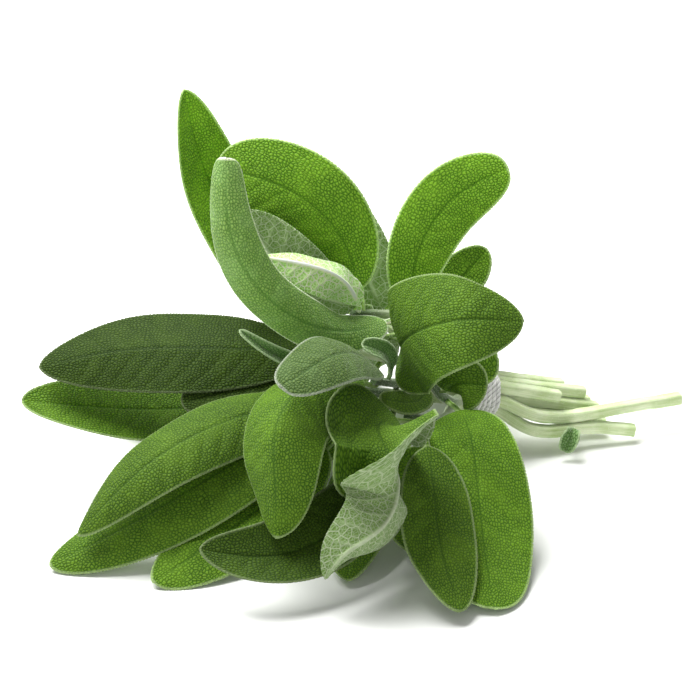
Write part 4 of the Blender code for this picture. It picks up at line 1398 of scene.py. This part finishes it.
class SageLeafSizes(bpy.types.PropertyGroup):
    """Sizes and colours of the leaves."""

    blade_thickness: length("Blade thickness", "Thickness between the veins", 0.5)
    pebble_size: length("Pebble size", "Width of one raised cell of the leaf's skin", 0.85)
    pebble_height: length("Pebble height", "Rise of a cell above the fine veins", 0.19)
    vein_spacing: length("Vein spacing", "Distance between side veins along the midrib", 7.0)
    vein_depth: length("Vein depth", "Depth of the midrib's groove", 0.24)
    tooth_pitch: length("Tooth pitch", "Distance between the margin's rounded teeth", 1.0)
    tooth_depth: length("Tooth depth", "How far the teeth stand out", 0.34)
    mesh_spacing: length("Mesh spacing", "Distance between mesh points on leaves in view", 0.36)
    rear_spacing: length("Rear mesh spacing", "Distance between mesh points on leaves behind", 0.58)
    upper_colour: colour("Upper face", "Green of the pebbles' tops", "#72992a")
    under_colour: colour("Underside", "Green between the raised veins", "#86a85c")
    hair_colour: colour("Felt", "Tint of the fine hairs", "#e6f0d8")


class SageStemSizes(bpy.types.PropertyGroup):
    """Sizes and colours of the stems."""

    point_spacing: length("Ring spacing", "Distance between the rings of a stem's mesh", 0.8)
    hair_length: length("Hair length", "Length of the stems' white hairs", 0.7)
    light_colour: colour("Light green", "Green of the stems' ridges", "#dfe8c6")
    dark_colour: colour("Deep green", "Green between the ridges", "#aec383")


class SageTwineSizes(bpy.types.PropertyGroup):
    """Sizes and colour of the twine."""

    diameter: length("Diameter", "Thickness of the twine", TWINE_DIAMETER)
    lay: length("Lay", "Length of one full twist of the three strands", 4.5)
    colour: colour("Cotton", "Bleached cotton", "#fcfbf8")


class SageStageSizes(bpy.types.PropertyGroup):
    """Camera, lights and floor."""

    camera_height: bpy.props.FloatProperty(
        name="Camera height angle", description="How far the camera looks down", default=radians(25),
        subtype="ANGLE",
    )
    camera_turn: bpy.props.FloatProperty(
        name="Camera turn", description="How far the camera stands left of the front", default=radians(22),
        subtype="ANGLE",
    )
    camera_distance: length("Camera distance", "From the camera to what it aims at", 700)
    floor_colour: colour("Floor", "Pale matte floor", "#f4f5f2")


# ---------------------------------------------------------------- operators


LEAF_GROUPS = {
    "upper": ("tall_back", "top_broad", "rolled_upright", "pale_underside", "behind_pale"),
    "right": ("upper_right", "right_hood", "right_small", "right_tucked", "right_tucked_rear"),
    "left": (
        "left_long", "left_lower", "left_inner", "front_left_upper", "front_left_middle",
        "front_left_lower",
    ),
    "front": (
        "front_floor", "front_hanging", "front_crown", "front_twisted", "front_right_inner",
        "front_right_outer", "centre_dark",
    ),
}


class SAGE_OT_upper_leaves(bpy.types.Operator):
    """Build the leaves that stand up at the back"""

    bl_idname = "sage.upper_leaves"
    bl_label = "Upper leaves"

    def execute(self, context):
        build_leaves(["leaf_" + name for name in LEAF_GROUPS["upper"]], "sage_leaf")
        return {"FINISHED"}


class SAGE_OT_right_leaves(bpy.types.Operator):
    """Build the leaves over the tie, on the right"""

    bl_idname = "sage.right_leaves"
    bl_label = "Right leaves"

    def execute(self, context):
        build_leaves(["leaf_" + name for name in LEAF_GROUPS["right"]], "sage_leaf")
        return {"FINISHED"}


class SAGE_OT_left_leaves(bpy.types.Operator):
    """Build the long leaves that spread to the left"""

    bl_idname = "sage.left_leaves"
    bl_label = "Left leaves"

    def execute(self, context):
        build_leaves(["leaf_" + name for name in LEAF_GROUPS["left"]], "sage_leaf")
        return {"FINISHED"}


class SAGE_OT_front_leaves(bpy.types.Operator):
    """Build the broad leaves that hang over the front"""

    bl_idname = "sage.front_leaves"
    bl_label = "Front leaves"

    def execute(self, context):
        build_leaves(["leaf_" + name for name in LEAF_GROUPS["front"]], "sage_leaf")
        return {"FINISHED"}


class SAGE_OT_rear_leaves(bpy.types.Operator):
    """Build the leaves inside, behind and underneath"""

    bl_idname = "sage.rear_leaves"
    bl_label = "Rear leaves"

    def execute(self, context):
        build_leaves(REAR_LEAVES, "sage_leaf")
        return {"FINISHED"}


class SAGE_OT_young_leaves(bpy.types.Operator):
    """Build the small felted leaves near the growing tips and on a stem"""

    bl_idname = "sage.young_leaves"
    bl_label = "Young leaves"

    def execute(self, context):
        names = [leaf["name"] for leaf in LEAVES if leaf["name"].startswith("young_")]
        build_leaves(names, "young_sage_leaf")
        return {"FINISHED"}


class SAGE_OT_stems(bpy.types.Operator):
    """Build the eight cut stems with their hairs"""

    bl_idname = "sage.stems"
    bl_label = "Stems"

    def execute(self, context):
        sizes = context.scene.sage_stems
        shift = place_of_bunch()
        tree = stem_tree()
        values = {
            "Hair Length": sizes.hair_length,
            "Hair Radius": 0.035 * MM,
            "Hairs Per Square Metre": 1.6e6,
            "Bark": stem_material(
                "hairy sage stem", with_alpha(sizes.light_colour), with_alpha(sizes.dark_colour), 0.6
            ),
            "Pith": pith_material(),
            "Hair": bpy.data.materials.get("white sage hairs") or hair_material(),
        }
        for letter, stem in STEMS.items():
            curve = stem_curve(stem)
            share = np.linspace(0, 1, round(curve_length(curve) / (sizes.point_spacing / MM)) + 1)
            radii = stem_radius(stem, curve, share)
            guide = add_guide(f"sage_stem_{letter}", sample(curve, share) + shift, radii)
            piece = grown(guide, tree, values)
            finish_piece(piece, f"stem_{letter}")
        return {"FINISHED"}


class SAGE_OT_twine(bpy.types.Operator):
    """Wind the twine round the stems, tie it and leave two short ends"""

    bl_idname = "sage.twine"
    bl_label = "Twine"

    def execute(self, context):
        shift = place_of_bunch()
        along = bundle_axes()[0]
        round_count = 72
        ring = bundle_outline(STEM_RADIUS + CLEARANCE + TWINE_DIAMETER / 2, round_count)[0]
        turns = np.arange(TWINE_TURNS * round_count + 1)
        half = (TWINE_TURNS - 1) / 2 * TWINE_DIAMETER
        slide = np.interp(turns, [0, turns[-1]], [-half - 0.3, half + 0.3])
        path = ring[turns % round_count] + slide[:, None] * along + shift
        build_twine("sage_twine_band", path, "twine_band")

        middle, out = knot_place()
        turn = np.linspace(0, 2 * pi, 90)
        third = np.cross(along, out)
        knot = (
            np.outer(np.sin(turn) + 2 * np.sin(2 * turn), along) * 0.62
            + np.outer(np.cos(turn) - 2 * np.cos(2 * turn), third) * 0.42
            - np.outer(np.sin(3 * turn), out) * 0.75
        )
        build_twine("sage_twine_knot", knot + middle + shift, "twine_knot")
        for hand, name in ((1, "twine_end_long"), (-1, "twine_end_short")):
            start = middle + along * hand * 0.9 * TWINE_DIAMETER
            length = TWINE_END_LENGTH * (1 if hand > 0 else 0.8)
            turn_point = middle + along * hand * ((1.7 + SLANT) * TWINE_DIAMETER + CLEARANCE + 0.35 * length)
            turn_point = turn_point + out * 0.3 * length
            end = turn_point + out * 0.2 * length + along * hand * 0.1 * length
            end = end - np.array([0, 0, 0.6 * length])
            curve = smooth_curve([start, turn_point, end], 60)
            build_twine("sage_" + name, curve + shift, name)
        return {"FINISHED"}


class SAGE_OT_stage(bpy.types.Operator):
    """Add the pale floor, the soft lights and the camera"""

    bl_idname = "sage.stage"
    bl_label = "Stage"

    def execute(self, context):
        sizes = context.scene.sage_stage
        bpy.ops.mesh.primitive_plane_add(size=6.0)
        floor = context.object
        floor.name = "floor"
        matte = bpy.data.materials.new("pale matte floor")
        matte.use_nodes = True
        paint = matte.node_tree.nodes["Principled BSDF"]
        paint.inputs["Base Color"].default_value = with_alpha(sizes.floor_colour)
        paint.inputs["Roughness"].default_value = 0.9
        floor.data.materials.append(matte)

        world = bpy.data.worlds.new("white studio")
        context.scene.world = world
        world.use_nodes = True
        world.node_tree.nodes["Background"].inputs["Color"].default_value = (1, 1, 1, 1)
        world.node_tree.nodes["Background"].inputs["Strength"].default_value = 0.33

        target = Vector((-8.55, 2.4, 49.0)) * MM
        for name, place, size, power in (
            ("key", (-0.25, 0.45, 1.15), 0.9, 38.0),
            ("front_fill", (-0.5, -0.9, 0.6), 0.9, 2.0),
        ):
            lamp = bpy.data.lights.new(name, "AREA")
            lamp.size = size
            lamp.energy = power
            holder = bpy.data.objects.new(name, lamp)
            holder.location = place
            holder.rotation_euler = (target - holder.location).to_track_quat("-Z", "Y").to_euler()
            context.scene.collection.objects.link(holder)

        lens = bpy.data.cameras.new("camera")
        lens.lens = 118.8
        camera = bpy.data.objects.new("camera", lens)
        turn, height = sizes.camera_turn, sizes.camera_height
        back = Vector((-sin(turn) * cos(height), -cos(turn) * cos(height), sin(height)))
        camera.location = target + back * sizes.camera_distance
        camera.rotation_euler = (-back).to_track_quat("-Z", "Y").to_euler()
        context.scene.collection.objects.link(camera)
        context.scene.camera = camera
        context.scene.view_settings.view_transform = "Standard"
        return {"FINISHED"}


class SAGE_PT_panel(bpy.types.Panel):
    """Lists the steps in order"""

    bl_idname = "SAGE_PT_panel"
    bl_label = "Sage Bunch"
    bl_space_type = "VIEW_3D"
    bl_region_type = "UI"
    bl_category = "Sage Bunch"

    def draw(self, context):
        for step in STEPS:
            self.layout.operator(step.bl_idname)
        for group in ("sage_leaves", "sage_stems", "sage_twine", "sage_stage"):
            sizes = getattr(context.scene, group)
            for key in sizes.bl_rna.properties.keys():
                if key not in ("rna_type", "name"):
                    self.layout.prop(sizes, key)


STEPS = (
    SAGE_OT_upper_leaves, SAGE_OT_right_leaves, SAGE_OT_left_leaves, SAGE_OT_front_leaves,
    SAGE_OT_rear_leaves, SAGE_OT_young_leaves, SAGE_OT_stems, SAGE_OT_twine, SAGE_OT_stage,
)
GROUPS = {
    "sage_leaves": SageLeafSizes, "sage_stems": SageStemSizes, "sage_twine": SageTwineSizes,
    "sage_stage": SageStageSizes,
}


def register():
    for made in (*GROUPS.values(), *STEPS, SAGE_PT_panel):
        bpy.utils.register_class(made)
    for key, group in GROUPS.items():
        setattr(bpy.types.Scene, key, bpy.props.PointerProperty(type=group))


def unregister():
    for key in GROUPS:
        delattr(bpy.types.Scene, key)
    for made in (SAGE_PT_panel, *reversed(STEPS), *GROUPS.values()):
        bpy.utils.unregister_class(made)


def main():
    register()
    for step in STEPS:
        family, action = step.bl_idname.split(".")
        getattr(getattr(bpy.ops, family), action)()


if __name__ == "__main__":
    main()
